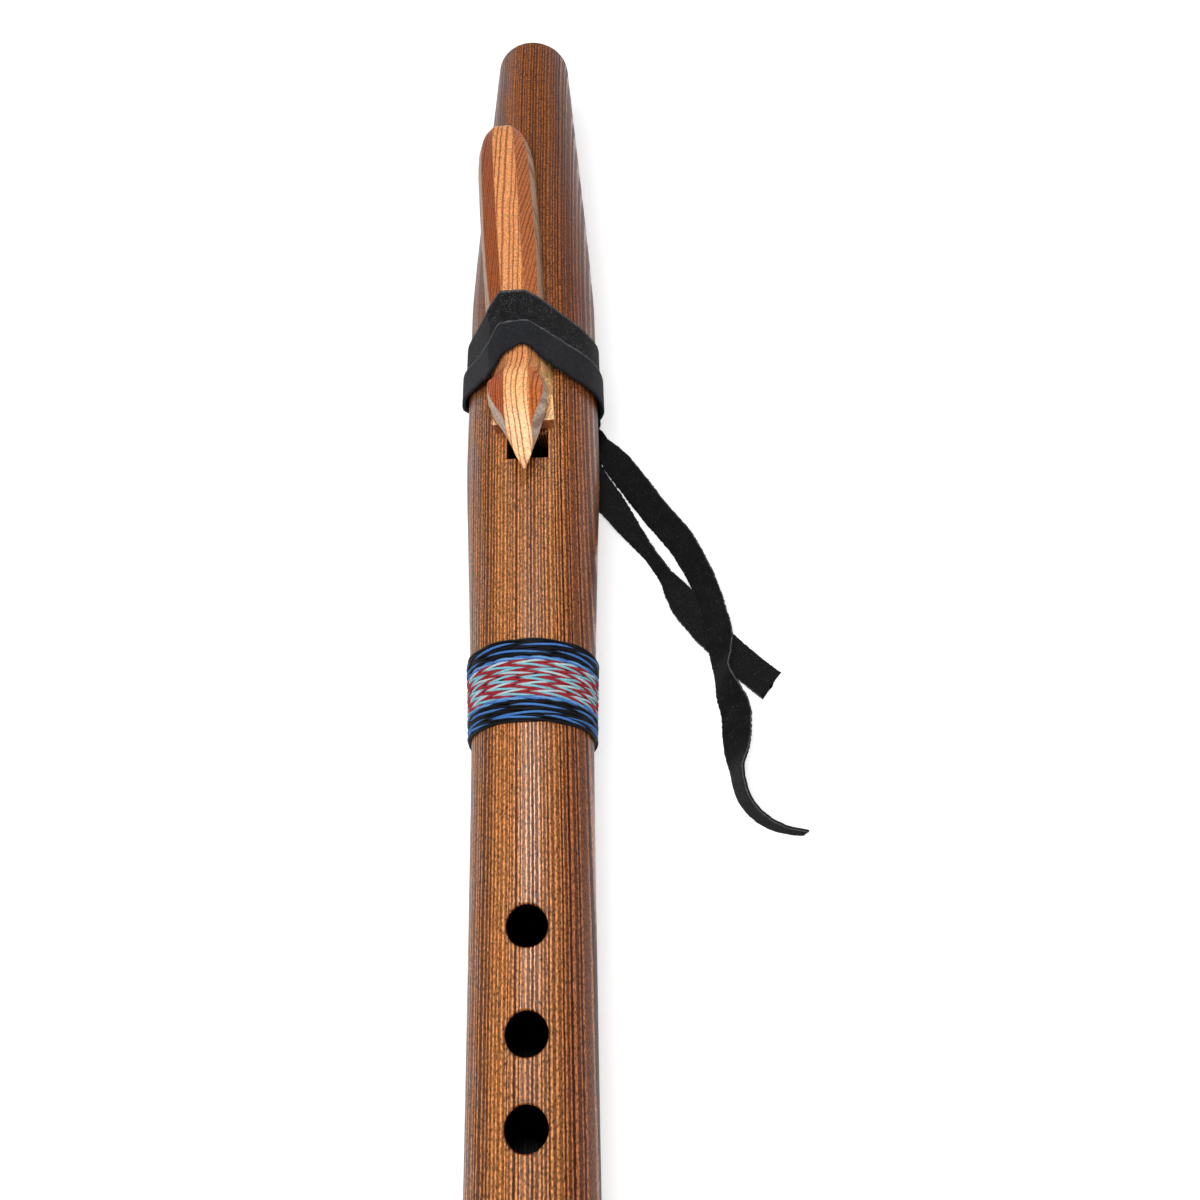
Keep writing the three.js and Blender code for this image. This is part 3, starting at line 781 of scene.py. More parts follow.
@dataclass(frozen=True)
class FluteBody:
    """The flute's two wooden halves, turned outside and bored inside."""

    axis_height: float = 21.1
    length: float = 510
    foot_radius: float = 14.3
    waist_place: float = 224
    waist_radius: float = 16
    nest_start: float = 327
    nest_end: float = 384
    nest_radius: float = 20
    mouth_radius: float = 12.9
    foot_easing: float = 0.8
    mouth_rounding: float = 1.5
    swell_shares: tuple = ((0.476, 0.45), (0.728, 0.74), (0.932, 0.97))
    fall_shares: tuple = ((0.143, 0.1), (0.294, 0.24), (0.683, 0.66))
    nest_height: float = 18.3
    nest_softness: float = 0.25
    bore_radius: float = 11
    sound_chamber_end: float = 324
    air_chamber: tuple[float, float] = (336, 484)
    mouth_hole_radius: float = 5
    mouth_hole_easing: float = 0.6
    sound_hole_length: float = 8.8
    sound_hole_width: float = 12
    sound_edge_slope: float = 4.2
    channel_width: float = 11
    channel_depth: float = 1
    chamber_hole: tuple[float, float] = (337, 345)
    hole_places: tuple[float, ...] = (76, 98, 119, 143, 162, 185.4)
    hole_radii: tuple[float, ...] = (4.2, 4.6, 4.6, 4.8, 4.9, 4.9)
    rim_rounding: float = 0.45
    rim_rise: float = 0.12
    scorch_depth: float = 0.9
    wall_margin: float = 0.1
    overrun: float = 2
    body_step: float = 4
    hole_step: float = 0.8
    round_steps: int = 96
    hole_steps: int = 72

    def y(self, place: float) -> float:
        """Y of a place measured from the foot end."""
        return place - self.length / 2

    def outside(self) -> SmoothTable:
        """Radius of the outside along the flute.

        Returns:
            A table of the radius by place.
        """
        rows = [(0, self.foot_radius), (self.waist_place, self.waist_radius)]
        for run, rise in self.swell_shares:
            place = lerp(self.waist_place, self.nest_start, run)
            rows.append((place, lerp(self.waist_radius, self.nest_radius, rise)))
        rows += [(self.nest_start, self.nest_radius), (self.nest_end, self.nest_radius)]
        for run, fall in self.fall_shares:
            place = lerp(self.nest_end, self.length, run)
            rows.append((place, lerp(self.nest_radius, self.mouth_radius, fall)))
        rows.append((self.length, self.mouth_radius))
        return SmoothTable(rows)

    def profile(self) -> list[tuple[float, float]]:
        """The outside's outline as (place, radius), from the foot's edge to the mouth's edge.

        Returns:
            The outline's points.
        """
        outside = self.outside()
        easing, rounding = self.foot_easing, self.mouth_rounding
        places = set(spaced(easing, self.length - rounding, self.body_step))
        for place, radius in zip(self.hole_places, self.hole_radii):
            reach = radius + 2 * self.rim_rounding
            places.update(spaced(place - reach, place + reach, self.hole_step))
        foot, mouth = outside.first(easing), outside.first(self.length - rounding)
        outline = []
        for turn in np.radians((90, 60, 30)):
            outline.append((easing * (1 - math.sin(turn)), foot - easing * (1 - math.cos(turn))))
        outline += [(place, outside.first(place)) for place in sorted(places)]
        for turn in np.radians((15, 30, 45, 60, 75, 90)):
            place = self.length - rounding * (1 - math.sin(turn))
            outline.append((place, mouth - rounding * (1 - math.cos(turn))))
        return outline

    def top(self, x: float, y: float, outside: SmoothTable) -> float:
        """Height of the outside over a point of the flute's plan."""
        radius = outside.first(y + self.length / 2)
        return soft_min(math.sqrt(max(radius**2 - x**2, 0)), self.nest_height, self.nest_softness)

    def arc(self, place: float, radius: float, angles: np.ndarray) -> np.ndarray:
        """Points round the bore's axis at a place."""
        y = np.full(len(angles), self.y(place))
        return np.column_stack((radius * np.cos(angles), y, radius * np.sin(angles)))

    def half(self, name: str, upper: bool) -> Piece:
        """One half of the body before it is bored.

        Args:
            name: The piece's name.
            upper: Whether it is the upper half.

        Returns:
            The solid half.
        """
        angles = np.linspace(0, math.pi, self.round_steps + 1) * (1 if upper else -1)
        rings = []
        for place, radius in self.profile():
            ring = self.arc(place, radius, angles)
            if upper:
                ring[1:-1, 2] = [soft_min(z, self.nest_height, self.nest_softness) for z in ring[1:-1, 2]]
            ring[[0, -1], 2] = 0
            rings.append(ring)
        return loft(name, rings)

    def bore(self, rows: Sequence[tuple[float, float]]) -> Piece:
        """A round cutter along the flute, from rows of (place, radius)."""
        angles = np.linspace(0, FULL_TURN, self.round_steps, endpoint=False)
        return loft("bore", [self.arc(place, radius, angles) for place, radius in rows])

    def bores(self) -> list[Piece]:
        """Cutters for the two chambers.

        Returns:
            The cutters.
        """
        easing = self.foot_easing / 2
        return [
            self.bore([
                (-self.overrun, self.bore_radius + easing + self.overrun), (easing, self.bore_radius),
                (self.sound_chamber_end, self.bore_radius),
            ]),
            self.bore([(place, self.bore_radius) for place in self.air_chamber]),
        ]

    def mouth_hole(self) -> Piece:
        """Cutter for the mouth hole, with its rim eased.

        Returns:
            The cutter.
        """
        easing = self.mouth_hole_easing
        radius = self.mouth_hole_radius
        return self.bore([
            (self.air_chamber[1] - self.overrun, radius), (self.length - easing, radius),
            (self.length + self.overrun, radius + easing + self.overrun),
        ])

    def floor(self, half_width: float) -> float:
        """Height inside the bore where an upward cut starts."""
        return math.sqrt(self.bore_radius**2 - half_width**2) - self.overrun

    def rim(self, place: float, reach: float, drop: float, outside: SmoothTable) -> np.ndarray:
        """A ring round a finger hole's middle, as deep under the outside as given.

        Args:
            place: Place of the hole's middle.
            reach: The ring's radius.
            drop: How deep under the outside it lies.
            outside: The body's outside.

        Returns:
            The ring's points.
        """
        points = []
        for angle in np.linspace(0, FULL_TURN, self.hole_steps, endpoint=False):
            x, y = reach * math.cos(angle), self.y(place) + reach * math.sin(angle)
            points.append((x, y, self.top(x, y, outside) - drop))
        return np.array(points)

    def finger_hole(self, place: float, radius: float, outside: SmoothTable) -> Piece:
        """Cutter for a finger hole, whose rounded rim follows the outside.

        Args:
            place: Place of its middle.
            radius: Its radius.
            outside: The body's outside.

        Returns:
            The cutter.
        """
        rounding = self.rim_rounding
        rows = [(radius, self.scorch_depth + self.wall_margin), (radius, rounding)]
        for turn in np.radians((18, 36, 54, 72)):
            rows.append((radius + rounding * (1 - math.cos(turn)), rounding * (1 - math.sin(turn))))
        rows += [(radius + rounding, -self.rim_rise), (radius + rounding, -self.overrun)]
        rings = [self.rim(place, reach, drop, outside) for reach, drop in rows]
        bottom = rings[0].copy()
        bottom[:, 2] = self.floor(radius)
        return loft("finger_hole", [bottom, *rings])

    def sound_hole(self) -> Piece:
        """Cutter for the sound hole, whose foot-side wall slopes back under a sharp edge.

        Returns:
            The cutter.
        """
        back = self.y(self.sound_chamber_end)
        edge = back - self.sound_hole_length
        floor = self.floor(self.sound_hole_width / 2)
        slope = self.sound_edge_slope / (self.nest_height - self.bore_radius)
        high = self.nest_height + self.overrun
        outline = [
            (back, floor), (back, high), (edge, high), (edge, self.nest_height),
            (edge - slope * (self.nest_height - floor), floor),
        ]
        return prism("sound_hole", outline, self.sound_hole_width / 2)

    def air_way(self, name: str, start: float, end: float, low: float) -> Piece:
        """Cutter as wide as the channel, between two places and from a height up out of the nest."""
        start, end, high = self.y(start), self.y(end), self.nest_height + self.overrun
        return prism(name, [(start, low), (end, low), (end, high), (start, high)], self.channel_width / 2)

    def channel(self) -> Piece:
        """Cutter for the shallow channel in the nest.

        Returns:
            The cutter.
        """
        start = self.sound_chamber_end - self.sound_hole_length / 2
        end = self.chamber_hole[0] + self.overrun
        return self.air_way("channel", start, end, self.nest_height - self.channel_depth)

    def rising_hole(self) -> Piece:
        """Cutter for the hole that lets the air up into the channel."""
        return self.air_way("rising_hole", *self.chamber_hole, self.floor(self.channel_width / 2))

    def burn_and_bore_shade_shares(self, piece: Piece, outside: SmoothTable) -> list[float]:
        """How far each point of a half is blackened: burnt inside a finger hole, and painted shade in the
        bore.

        Args:
            piece: The half.
            outside: The body's outside.

        Returns:
            A share from 0 to 1 for each point.
        """
        shares = []
        for vertex in piece.data.vertices:
            x, y, z = vertex.co * TO_MM
            z -= self.axis_height
            near = any(
                math.hypot(x, y - self.y(place)) < radius + self.wall_margin
                for place, radius in zip(self.hole_places, self.hole_radii)
            )
            deep = near and z > 0 and self.top(x, y, outside) - z > self.scorch_depth
            # Painted shade: the whole bore is blackened, so that it shows dark through the holes.
            in_bore = math.hypot(x, z) < self.bore_radius + self.wall_margin
            shares.append(1.0 if deep or in_bore else 0.0)
        return shares

    def build(self, finishes: Finishes) -> None:
        """Builds both halves.

        Args:
            finishes: The materials.
        """
        outside = self.outside()
        material = finishes.get(Cedar.BODY, seam_height=self.axis_height)
        lower = self.half("body_lower", upper=False)
        combine(lower, self.bores())
        combine(lower, [self.mouth_hole()])
        upper = self.half("body_upper", upper=True)
        combine(upper, self.bores())
        combine(upper, [self.channel()])
        holes = [self.finger_hole(*hole, outside) for hole in zip(self.hole_places, self.hole_radii)]
        combine(upper, [self.mouth_hole(), self.sound_hole(), self.rising_hole(), *holes])
        for piece, node in ((upper, "body_upper_half"), (lower, "body_lower_half")):
            mark_points(piece, "scorch", self.burn_and_bore_shade_shares(piece, outside))
            finish_piece(piece, material, "cedar", FLUTE_BODY, [node])


@dataclass(frozen=True)
class Cut:
    """The look of one facet of the block, from one share of its length to another.

    The tint multiplies the wood's colour: the facet's own tone, with painted light and shade on some facets.
    The stretch and the slant lay its growth lines, which are as dark as the strength says.
    """

    start: float
    end: float
    tint_with_painted_light: Colour
    stretch: float
    slant: float
    strength: float

    def rows(self) -> list[tuple[float, ...]]:
        """The cut's rows in its facet's table, one at each end."""
        look = (*self.tint_with_painted_light, self.stretch, self.slant, self.strength)
        return [(place, *look) for place in sorted({self.start, self.end})]


# The most of a side that a rounded corner takes, and the least length that counts as a side
MOST_OF_SIDE = 0.42
SMALLEST_SIDE = 1e-6
# Two of the four corners of the block's section, counted up from its foot
SHOULDER, CREST = 2, 3


def toward(corner: np.ndarray, neighbour: np.ndarray, reach: float) -> np.ndarray:
    """The way from a corner toward a neighbour, as long as given but under half of the side."""
    way = neighbour - corner
    return way * min(MOST_OF_SIDE, reach / max(np.linalg.norm(way), SMALLEST_SIDE))


@dataclass(frozen=True)
class BirdBlock:
    """The carved block, tied on slightly askew over the air channel.

    Each row of the section shares has a share of the length, then the half widths and the heights of the
    foot, the lip, the shoulder and the crest. Each row of the shift shares has how far aside the same
    four are set.
    """

    place: float = 324.8
    length: float = 122.4
    beak_reach: float = 18.3
    half_width: float = 9.7
    height: float = 13
    foot_height: float = 18.3
    offset: float = -1.15
    angle: float = math.radians(3.3)
    base_thickness: float = 4.2
    base_overlap: float = 9
    base_easing: float = 0.25
    base_front_look: tuple[float, ...] = (0.42, 0.34, 0.33, 1.2, 0, 0.7)
    # Painted light: the base's sides are brightened and yellowed as if lit.
    base_side_painted_light: tuple[float, ...] = (1.1, 1.6, 1.8, 1.6, 0, 1)
    least_rings: int = 110
    roundings: tuple[float, ...] = (0.3, 0.45, 0.4, 0.4)
    section_shares: tuple = (
        (0, 0.02, 0.03, 0.035, 0.035, 0.485, 0.5, 0.56, 0.58),
        (0.011, 0.04, 0.075, 0.1, 0.11, 0.46, 0.485, 0.6, 0.63),
        (0.025, 0.07, 0.15, 0.21, 0.22, 0.43, 0.47, 0.64, 0.68),
        (0.054, 0.14, 0.3, 0.33, 0.322, 0.39, 0.46, 0.74, 0.78),
        (0.077, 0.21, 0.43, 0.376, 0.354, 0.37, 0.46, 0.81, 0.85),
        (0.095, 0.27, 0.53, 0.405, 0.361, 0.355, 0.46, 0.85, 0.895),
        (0.117, 0.34, 0.655, 0.5, 0.362, 0.345, 0.46, 0.85, 0.945),
        (0.138, 0.4, 0.765, 0.618, 0.364, 0.335, 0.465, 0.79, 0.975),
        (0.164, 0.46, 0.85, 0.745, 0.367, 0.325, 0.475, 0.735, 1),
        (0.168, 0.91, 0.865, 0.765, 0.367, 0, 0.48, 0.73, 1),
        (0.187, 0.91, 0.884, 0.825, 0.366, 0, 0.49, 0.68, 0.99),
        (0.205, 0.915, 0.88, 0.832, 0.362, 0, 0.5, 0.645, 0.97),
        (0.219, 0.925, 0.84, 0.785, 0.357, 0, 0.49, 0.655, 0.945),
        (0.229, 0.93, 0.8, 0.7, 0.35, 0, 0.42, 0.63, 0.905),
        (0.24, 0.935, 0.865, 0.69, 0.335, 0, 0.3, 0.565, 0.865),
        (0.281, 0.94, 0.87, 0.69, 0.32, 0, 0.28, 0.545, 0.8),
        (0.358, 0.95, 0.87, 0.7, 0.345, 0, 0.26, 0.54, 0.79),
        (0.43, 0.955, 0.88, 0.745, 0.355, 0, 0.25, 0.56, 0.8),
        (0.501, 0.965, 0.9, 0.8, 0.36, 0, 0.25, 0.58, 0.815),
        (0.621, 0.98, 0.93, 0.83, 0.37, 0, 0.25, 0.59, 0.825),
        (0.784, 1, 0.955, 0.82, 0.38, 0, 0.25, 0.59, 0.82),
        (0.877, 1, 0.95, 0.8, 0.375, 0, 0.25, 0.585, 0.8),
        (0.934, 0.955, 0.9, 0.74, 0.36, 0, 0.25, 0.57, 0.775),
        (0.96, 0.9, 0.84, 0.68, 0.35, 0, 0.25, 0.555, 0.75),
        (0.981, 0.8, 0.74, 0.58, 0.32, 0.01, 0.25, 0.53, 0.71),
        (0.993, 0.66, 0.6, 0.46, 0.26, 0.04, 0.25, 0.49, 0.65),
        (1, 0.45, 0.4, 0.3, 0.16, 0.09, 0.25, 0.44, 0.57),
    )
    shift_shares: tuple = (
        (0, 0, 0, 0.005, 0.005), (0.025, 0, 0, 0.005, 0.012), (0.054, 0, 0.003, -0.018, -0.02),
        (0.077, 0, 0.012, -0.062, -0.068), (0.095, 0, -0.002, -0.05, -0.085),
        (0.117, -0.01, -0.025, -0.05, -0.095), (0.138, -0.02, -0.047, -0.068, -0.083),
        (0.164, -0.03, -0.065, -0.08, -0.062), (0.168, 0.045, -0.068, -0.082, -0.06),
        (0.187, 0.045, -0.083, -0.096, -0.055), (0.205, 0.045, -0.085, -0.105, -0.045),
        (0.219, 0.045, -0.09, -0.12, -0.038), (0.229, 0.045, -0.04, -0.075, -0.028),
        (0.24, 0.045, 0.02, -0.02, -0.005), (0.281, 0.045, 0.03, 0, 0.012), (0.358, 0.02, 0.015, 0, 0.005),
        (0.43, 0, 0, 0, 0),
    )
    # Painted light and shade in the tints: darker left facets and lighter right ones, a painted highlight on
    # the head's crest, painted bluish reflection on the beak's sides, the lower sides and the tail's end,
    # and brightened sides over the base; the rest is the wood's own tone on each facet.
    facets: tuple[tuple[Cut, ...], ...] = (
        (
            Cut(0, 0.16, (0.4, 0.36, 0.4), 1.6, 0, 0.7), Cut(0.17, 0.4, (1.1, 1.6, 1.8), 1.2, 0, 0.8),
            Cut(0.44, 1, (0.45, 0.62, 0.9), 1.4, 0, 0.7),
        ),
        (
            Cut(0, 0.21, (0.62, 1.1, 2.3), 2, -0.3, 0.6), Cut(0.235, 0.4, (1.0, 1.3, 1.4), 1.3, 0, 0.8),
            Cut(0.44, 0.93, (0.6, 0.88, 1.4), 1.5, 0, 0.6), Cut(1, 1, (0.8, 0.9, 1.3), 1.5, 0, 0.5),
        ),
        (
            Cut(0, 0.075, (1.1, 1.3, 1.4), 1, 0, 1), Cut(0.084, 0.226, (0.8, 0.5, 0.26), 1.7, 0, 0.9),
            Cut(0.24, 0.38, (0.8, 0.8, 0.85), 1.6, 0, 0.8),
            Cut(0.42, 0.95, (0.66, 0.48, 0.36), 2.0, -0.13, 0.9),
            Cut(1, 1, (0.75, 0.75, 0.85), 2.3, -0.26, 0.6),
        ),
        (
            Cut(0, 0, (1.0, 1.1, 1.3), 1, 0, 0.8), Cut(0.03, 0.2, (1.2, 1.5, 1.7), 1, 0, 0.9),
            Cut(0.26, 0.96, (1, 1, 1), 1, 0, 1), Cut(1, 1, (0.9, 0.95, 1.1), 1, 0, 0.7),
        ),
        (
            Cut(0, 0.075, (1.1, 1.3, 1.4), 1, 0, 1), Cut(0.1, 0.226, (0.56, 0.27, 0.11), 1.7, 0, 0.9),
            Cut(0.24, 0.38, (0.8, 0.78, 0.85), 1.6, 0, 0.7),
            Cut(0.42, 0.95, (0.42, 0.24, 0.11), 1.8, -0.1, 0.95),
            Cut(1, 1, (0.65, 0.6, 0.65), 1.8, -0.1, 0.6),
        ),
        (
            Cut(0, 0.21, (0.62, 1.1, 2.3), 2, 0.45, 0.6), Cut(0.235, 0.4, (0.8, 0.8, 0.9), 1.3, 0, 0.7),
            Cut(0.44, 1, (0.5, 0.6, 0.85), 1.5, 0, 0.6),
        ),
        (
            Cut(0, 0.16, (0.4, 0.36, 0.4), 1.6, 0, 0.7), Cut(0.17, 0.17, (0.55, 0.6, 0.7), 1.2, 0, 0.7),
            Cut(1, 1, (0.45, 0.55, 0.8), 1.4, 0, 0.7),
        ),
        (
            Cut(0, 1, (0.35, 0.3, 0.3), 1.2, 0, 0.7),
        ),
    )

    def tables(self) -> tuple[SmoothTable, SmoothTable]:
        """The section's sizes and its sideways shifts along the block."""
        return SmoothTable(self.section_shares), SmoothTable(self.shift_shares)

    def section(
        self, distance: float, tables: tuple[SmoothTable, SmoothTable]
    ) -> tuple[np.ndarray, np.ndarray, np.ndarray]:
        """The section at a distance behind the base's front.

        Args:
            distance: Distance along the block.
            tables: The block's tables.

        Returns:
            X of the right side's foot, lip, shoulder and crest, x of the left side's, and all four heights.
        """
        share = (distance + self.beak_reach) / (self.length + self.beak_reach)
        sizes, shifts = (table.at(share) for table in tables)
        right, left = (shifts + sizes[:4]) * self.half_width, (shifts - sizes[:4]) * self.half_width
        return right, left, self.foot_height + sizes[4:] * self.height

    def middle(self, place: float) -> float:
        """X of the block's middle line at a place along the flute."""
        return self.offset - math.tan(self.angle) * (place - self.place)

    def rounded(self, corners: np.ndarray) -> np.ndarray:
        """A section's outline with its corners rounded and its sides divided.

        Args:
            corners: X and z of its corners.

        Returns:
            The outline's points.
        """
        count = len(corners)
        reaches = self.roundings + self.roundings[::-1]
        ring = []
        for i, corner in enumerate(corners):
            after = (i + 1) % count
            start = toward(corner, corners[i - 1], reaches[i])
            end = toward(corner, corners[after], reaches[i])
            ring += [corner + start * (1 - t) ** 2 + end * t**2 for t in (0, 0.25, 0.5, 0.75, 1)]
            last = corners[after] + toward(corners[after], corner, reaches[after])
            ring += [(corner + end) * (1 - t) + last * t for t in (0.08, 0.5, 0.92)]
        return np.array(ring)

    def ring(self, y: float, tables: tuple[SmoothTable, SmoothTable]) -> np.ndarray:
        """The block's outline at a distance behind the base's front, in its own frame.

        Args:
            y: The distance.
            tables: The block's tables.

        Returns:
            The ring's points.
        """
        right, left, heights = self.section(y, tables)
        x, z = np.append(right, left[::-1]), np.append(heights, heights[::-1])
        outline = self.rounded(np.column_stack((x, z)))
        return np.column_stack((outline[:, 0], np.full(len(outline), y), outline[:, 1]))

    def looks(self, share: float, facets: Sequence[SmoothTable]) -> np.ndarray:
        """Tint and grain at each point of a ring, a share of the way along the block.

        Args:
            share: The share of the way.
            facets: Table of each facet's look.

        Returns:
            A row for each point.
        """
        sides = [facet.at(share) for facet in facets]
        rows = []
        for before, side in zip([sides[-1], *sides], sides):
            rows += [before] * 2 + [(before + side) / 2] + [side] * 5
        return np.array(rows)

    def turned(self, points: np.ndarray, flute: FluteBody) -> np.ndarray:
        """Points of the block's own frame, turned and moved to their place on the flute.

        Args:
            points: The points.
            flute: The body.

        Returns:
            The moved points.
        """
        cos, sin = math.cos(self.angle), math.sin(self.angle)
        x = points[:, 0] * cos - points[:, 1] * sin + self.offset
        y = points[:, 0] * sin + points[:, 1] * cos + flute.y(self.place)
        return np.column_stack((x, y, points[:, 2]))

    def base_rings(self, tables: tuple[SmoothTable, SmoothTable], flute: FluteBody) -> list[np.ndarray]:
        """Rings of the flat base under the block's front, with its front edges eased.

        Args:
            tables: The block's tables.
            flute: The body.

        Returns:
            The rings.
        """
        right, left, _ = self.section(self.base_overlap, tables)
        low, high = self.foot_height, self.foot_height + self.base_thickness
        corners = np.array([(right[0], low), (right[0], high), (left[0], high), (left[0], low)])
        outward = np.sign(corners - corners.mean(axis=0))
        ease = self.base_easing
        rings = []
        for y, inset in ((0, ease), (ease / 2, ease / 4), (ease, 0), (self.base_overlap, 0)):
            inner = corners - outward * inset
            ring = np.column_stack((inner[:, 0], np.full(len(inner), y), inner[:, 1]))
            rings.append(self.turned(ring, flute))
        return rings

    def build(self, flute: FluteBody, finishes: Finishes) -> None:
        """Builds the block with its base.

        Args:
            flute: The body.
            finishes: The materials.
        """
        tables = self.tables()
        facets = [SmoothTable([row for cut in facet for row in cut.rows()]) for facet in self.facets]
        reach = self.length + self.beak_reach
        shares = sorted(set(spaced(0, 1, 1 / self.least_rings)) | {row[0] for row in self.section_shares})
        rings = [self.turned(self.ring(share * reach - self.beak_reach, tables), flute) for share in shares]
        looks = [self.looks(share, facets) for share in shares]
        base_rings = self.base_rings(tables, flute)
        front, *sides = base_rings
        looks += [np.tile(self.base_front_look, (len(front), 1))]
        looks += [np.tile(self.base_side_painted_light, (len(side), 1)) for side in sides]
        block = loft("bird", rings)
        combine(block, [loft("base", base_rings)], "UNION")
        self.mark(block, np.concatenate((*rings, *base_rings)), np.concatenate(looks))
        finish_piece(block, finishes.get(Cedar.BLOCK), "orange_cedar", BLOCK_BODY, ["bird_block"], crease=28)

    def mark(self, piece: Piece, points: np.ndarray, looks: np.ndarray) -> None:
        """Stores tint and grain on each point of the block, from the nearest point that has them.

        Args:
            piece: The finished block.
            points: The points that have them.
            looks: Tint and grain of each of these.
        """
        tree = KDTree(len(points))
        for index, point in enumerate(placed(points)):
            tree.insert(point, index)
        tree.balance()
        found = looks[[tree.find(vertex.co)[1] for vertex in piece.data.vertices]]
        mark_points(piece, "facet", found[:, :3])
        mark_points(piece, "grain", found[:, 3:])


@dataclass(frozen=True)
class Lace:
    """A flat leather lace's section: its size, and the shape of its outline."""

    width: float = 9.5
    broad_width: float = 14
    thickness: float = 1.0
    across: tuple[float, ...] = (-0.95, -0.8, -0.55, -0.28, 0, 0.28, 0.55, 0.8, 0.95)
    edge: tuple[tuple[float, float], ...] = ((0.99, 0.62), (1.0, 0.0), (0.99, -0.62))
    edge_share: float = 0.9

    def outline(self) -> list[tuple[float, float]]:
        """The section as (share of the half width, share of the half thickness), once round.

        Returns:
            The outline's points.
        """
        top = [(share, 1.0) for share in self.across]
        bottom = [(share, -1.0) for share in reversed(self.across)]
        left = [(-share, -height) for share, height in self.edge]
        return [*top, *self.edge, *bottom, *left]

    def rims(self, both: bool) -> list[float]:
        """How much of a pale rim each point of the outline shows, on both edges or wider on the first."""
        low, high = (-0.98, 0.98) if both else (-math.inf, 0.94)
        return [float((share < low or share > high) and height > 0.5) for share, height in self.outline()]


def ragged(point: Sequence[float], size: float, fineness: float = 1.7) -> float:
    """A small uneven push at a point, the same on every run."""
    return size * noise.noise(Vector(point) * fineness)


def on_circle(circle: Sequence[float], angle: float) -> np.ndarray:
    """A point on a circle that stands across the flute.

    Args:
        circle: The circle's x, z and radius.
        angle: Where on the circle, in radians.

    Returns:
        X and z, and the outward direction's x and z.
    """
    x, z, radius = circle
    out = (math.cos(angle), math.sin(angle))
    return np.array((x + radius * out[0], z + radius * out[1], *out))


@dataclass(frozen=True)
class Knot:
    """The tie's knot, a lace pulled tight in a lump under the body's side."""

    angle: float = math.radians(-46)
    place: float = 351
    thickness: float = 6.4
    width: float = 9.4
    length: float = 14
    gap: float = 0.3
    strand_radius: float = 1.75
    flatness: float = 0.62
    clearance: float = 0.1
    steps: int = 96
    sides: int = 12

    def middles(self, flute: FluteBody, out: Vector) -> list[Vector]:
        """The strand's middle line, which crosses itself three times.

        Args:
            flute: The body.
            out: The way out of the body at the knot.

        Returns:
            The line's points.
        """
        along = Vector((0, 1, 0))
        across = out.cross(along)
        radius = flute.nest_radius + self.gap + self.thickness / 2
        centre = out * radius + along * flute.y(self.place)
        # The line swings out by up to three times each of the first two, and by the third just once.
        long_reach = (self.length / 2 - self.strand_radius) / 3
        wide_reach = (self.width / 2 - self.strand_radius) / 3
        high_reach = self.thickness / 2 - self.strand_radius * self.flatness - self.clearance
        points = []
        for step in range(self.steps):
            t = FULL_TURN * step / self.steps
            points.append(
                centre
                + along * ((math.sin(t) + 2 * math.sin(2 * t)) * long_reach)
                + across * ((math.cos(t) - 2 * math.cos(2 * t)) * wide_reach)
                - out * (math.sin(3 * t) * high_reach)
            )
        return points

    def build(self, flute: FluteBody, finishes: Finishes) -> None:
        """Builds the knot as one closed strand that passes over and under itself.

        Args:
            flute: The body.
            finishes: The materials.
        """
        out = Vector((math.cos(self.angle), 0, math.sin(self.angle)))
        middles = self.middles(flute, out)
        rings = []
        for step, middle in enumerate(middles):
            ahead = (middles[(step + 1) % self.steps] - middles[step - 1]).normalized()
            side = ahead.cross(out).normalized()
            up = side.cross(ahead)
            ring = []
            for corner in range(self.sides):
                turn = FULL_TURN * corner / self.sides
                flat = self.strand_radius * self.flatness * math.sin(turn)
                ring.append(middle + side * (self.strand_radius * math.cos(turn)) + up * flat)
            rings.append(ring)
        finish_lace(closed_loop("knot", rings), finishes, ["tie_knot"], crease=35)


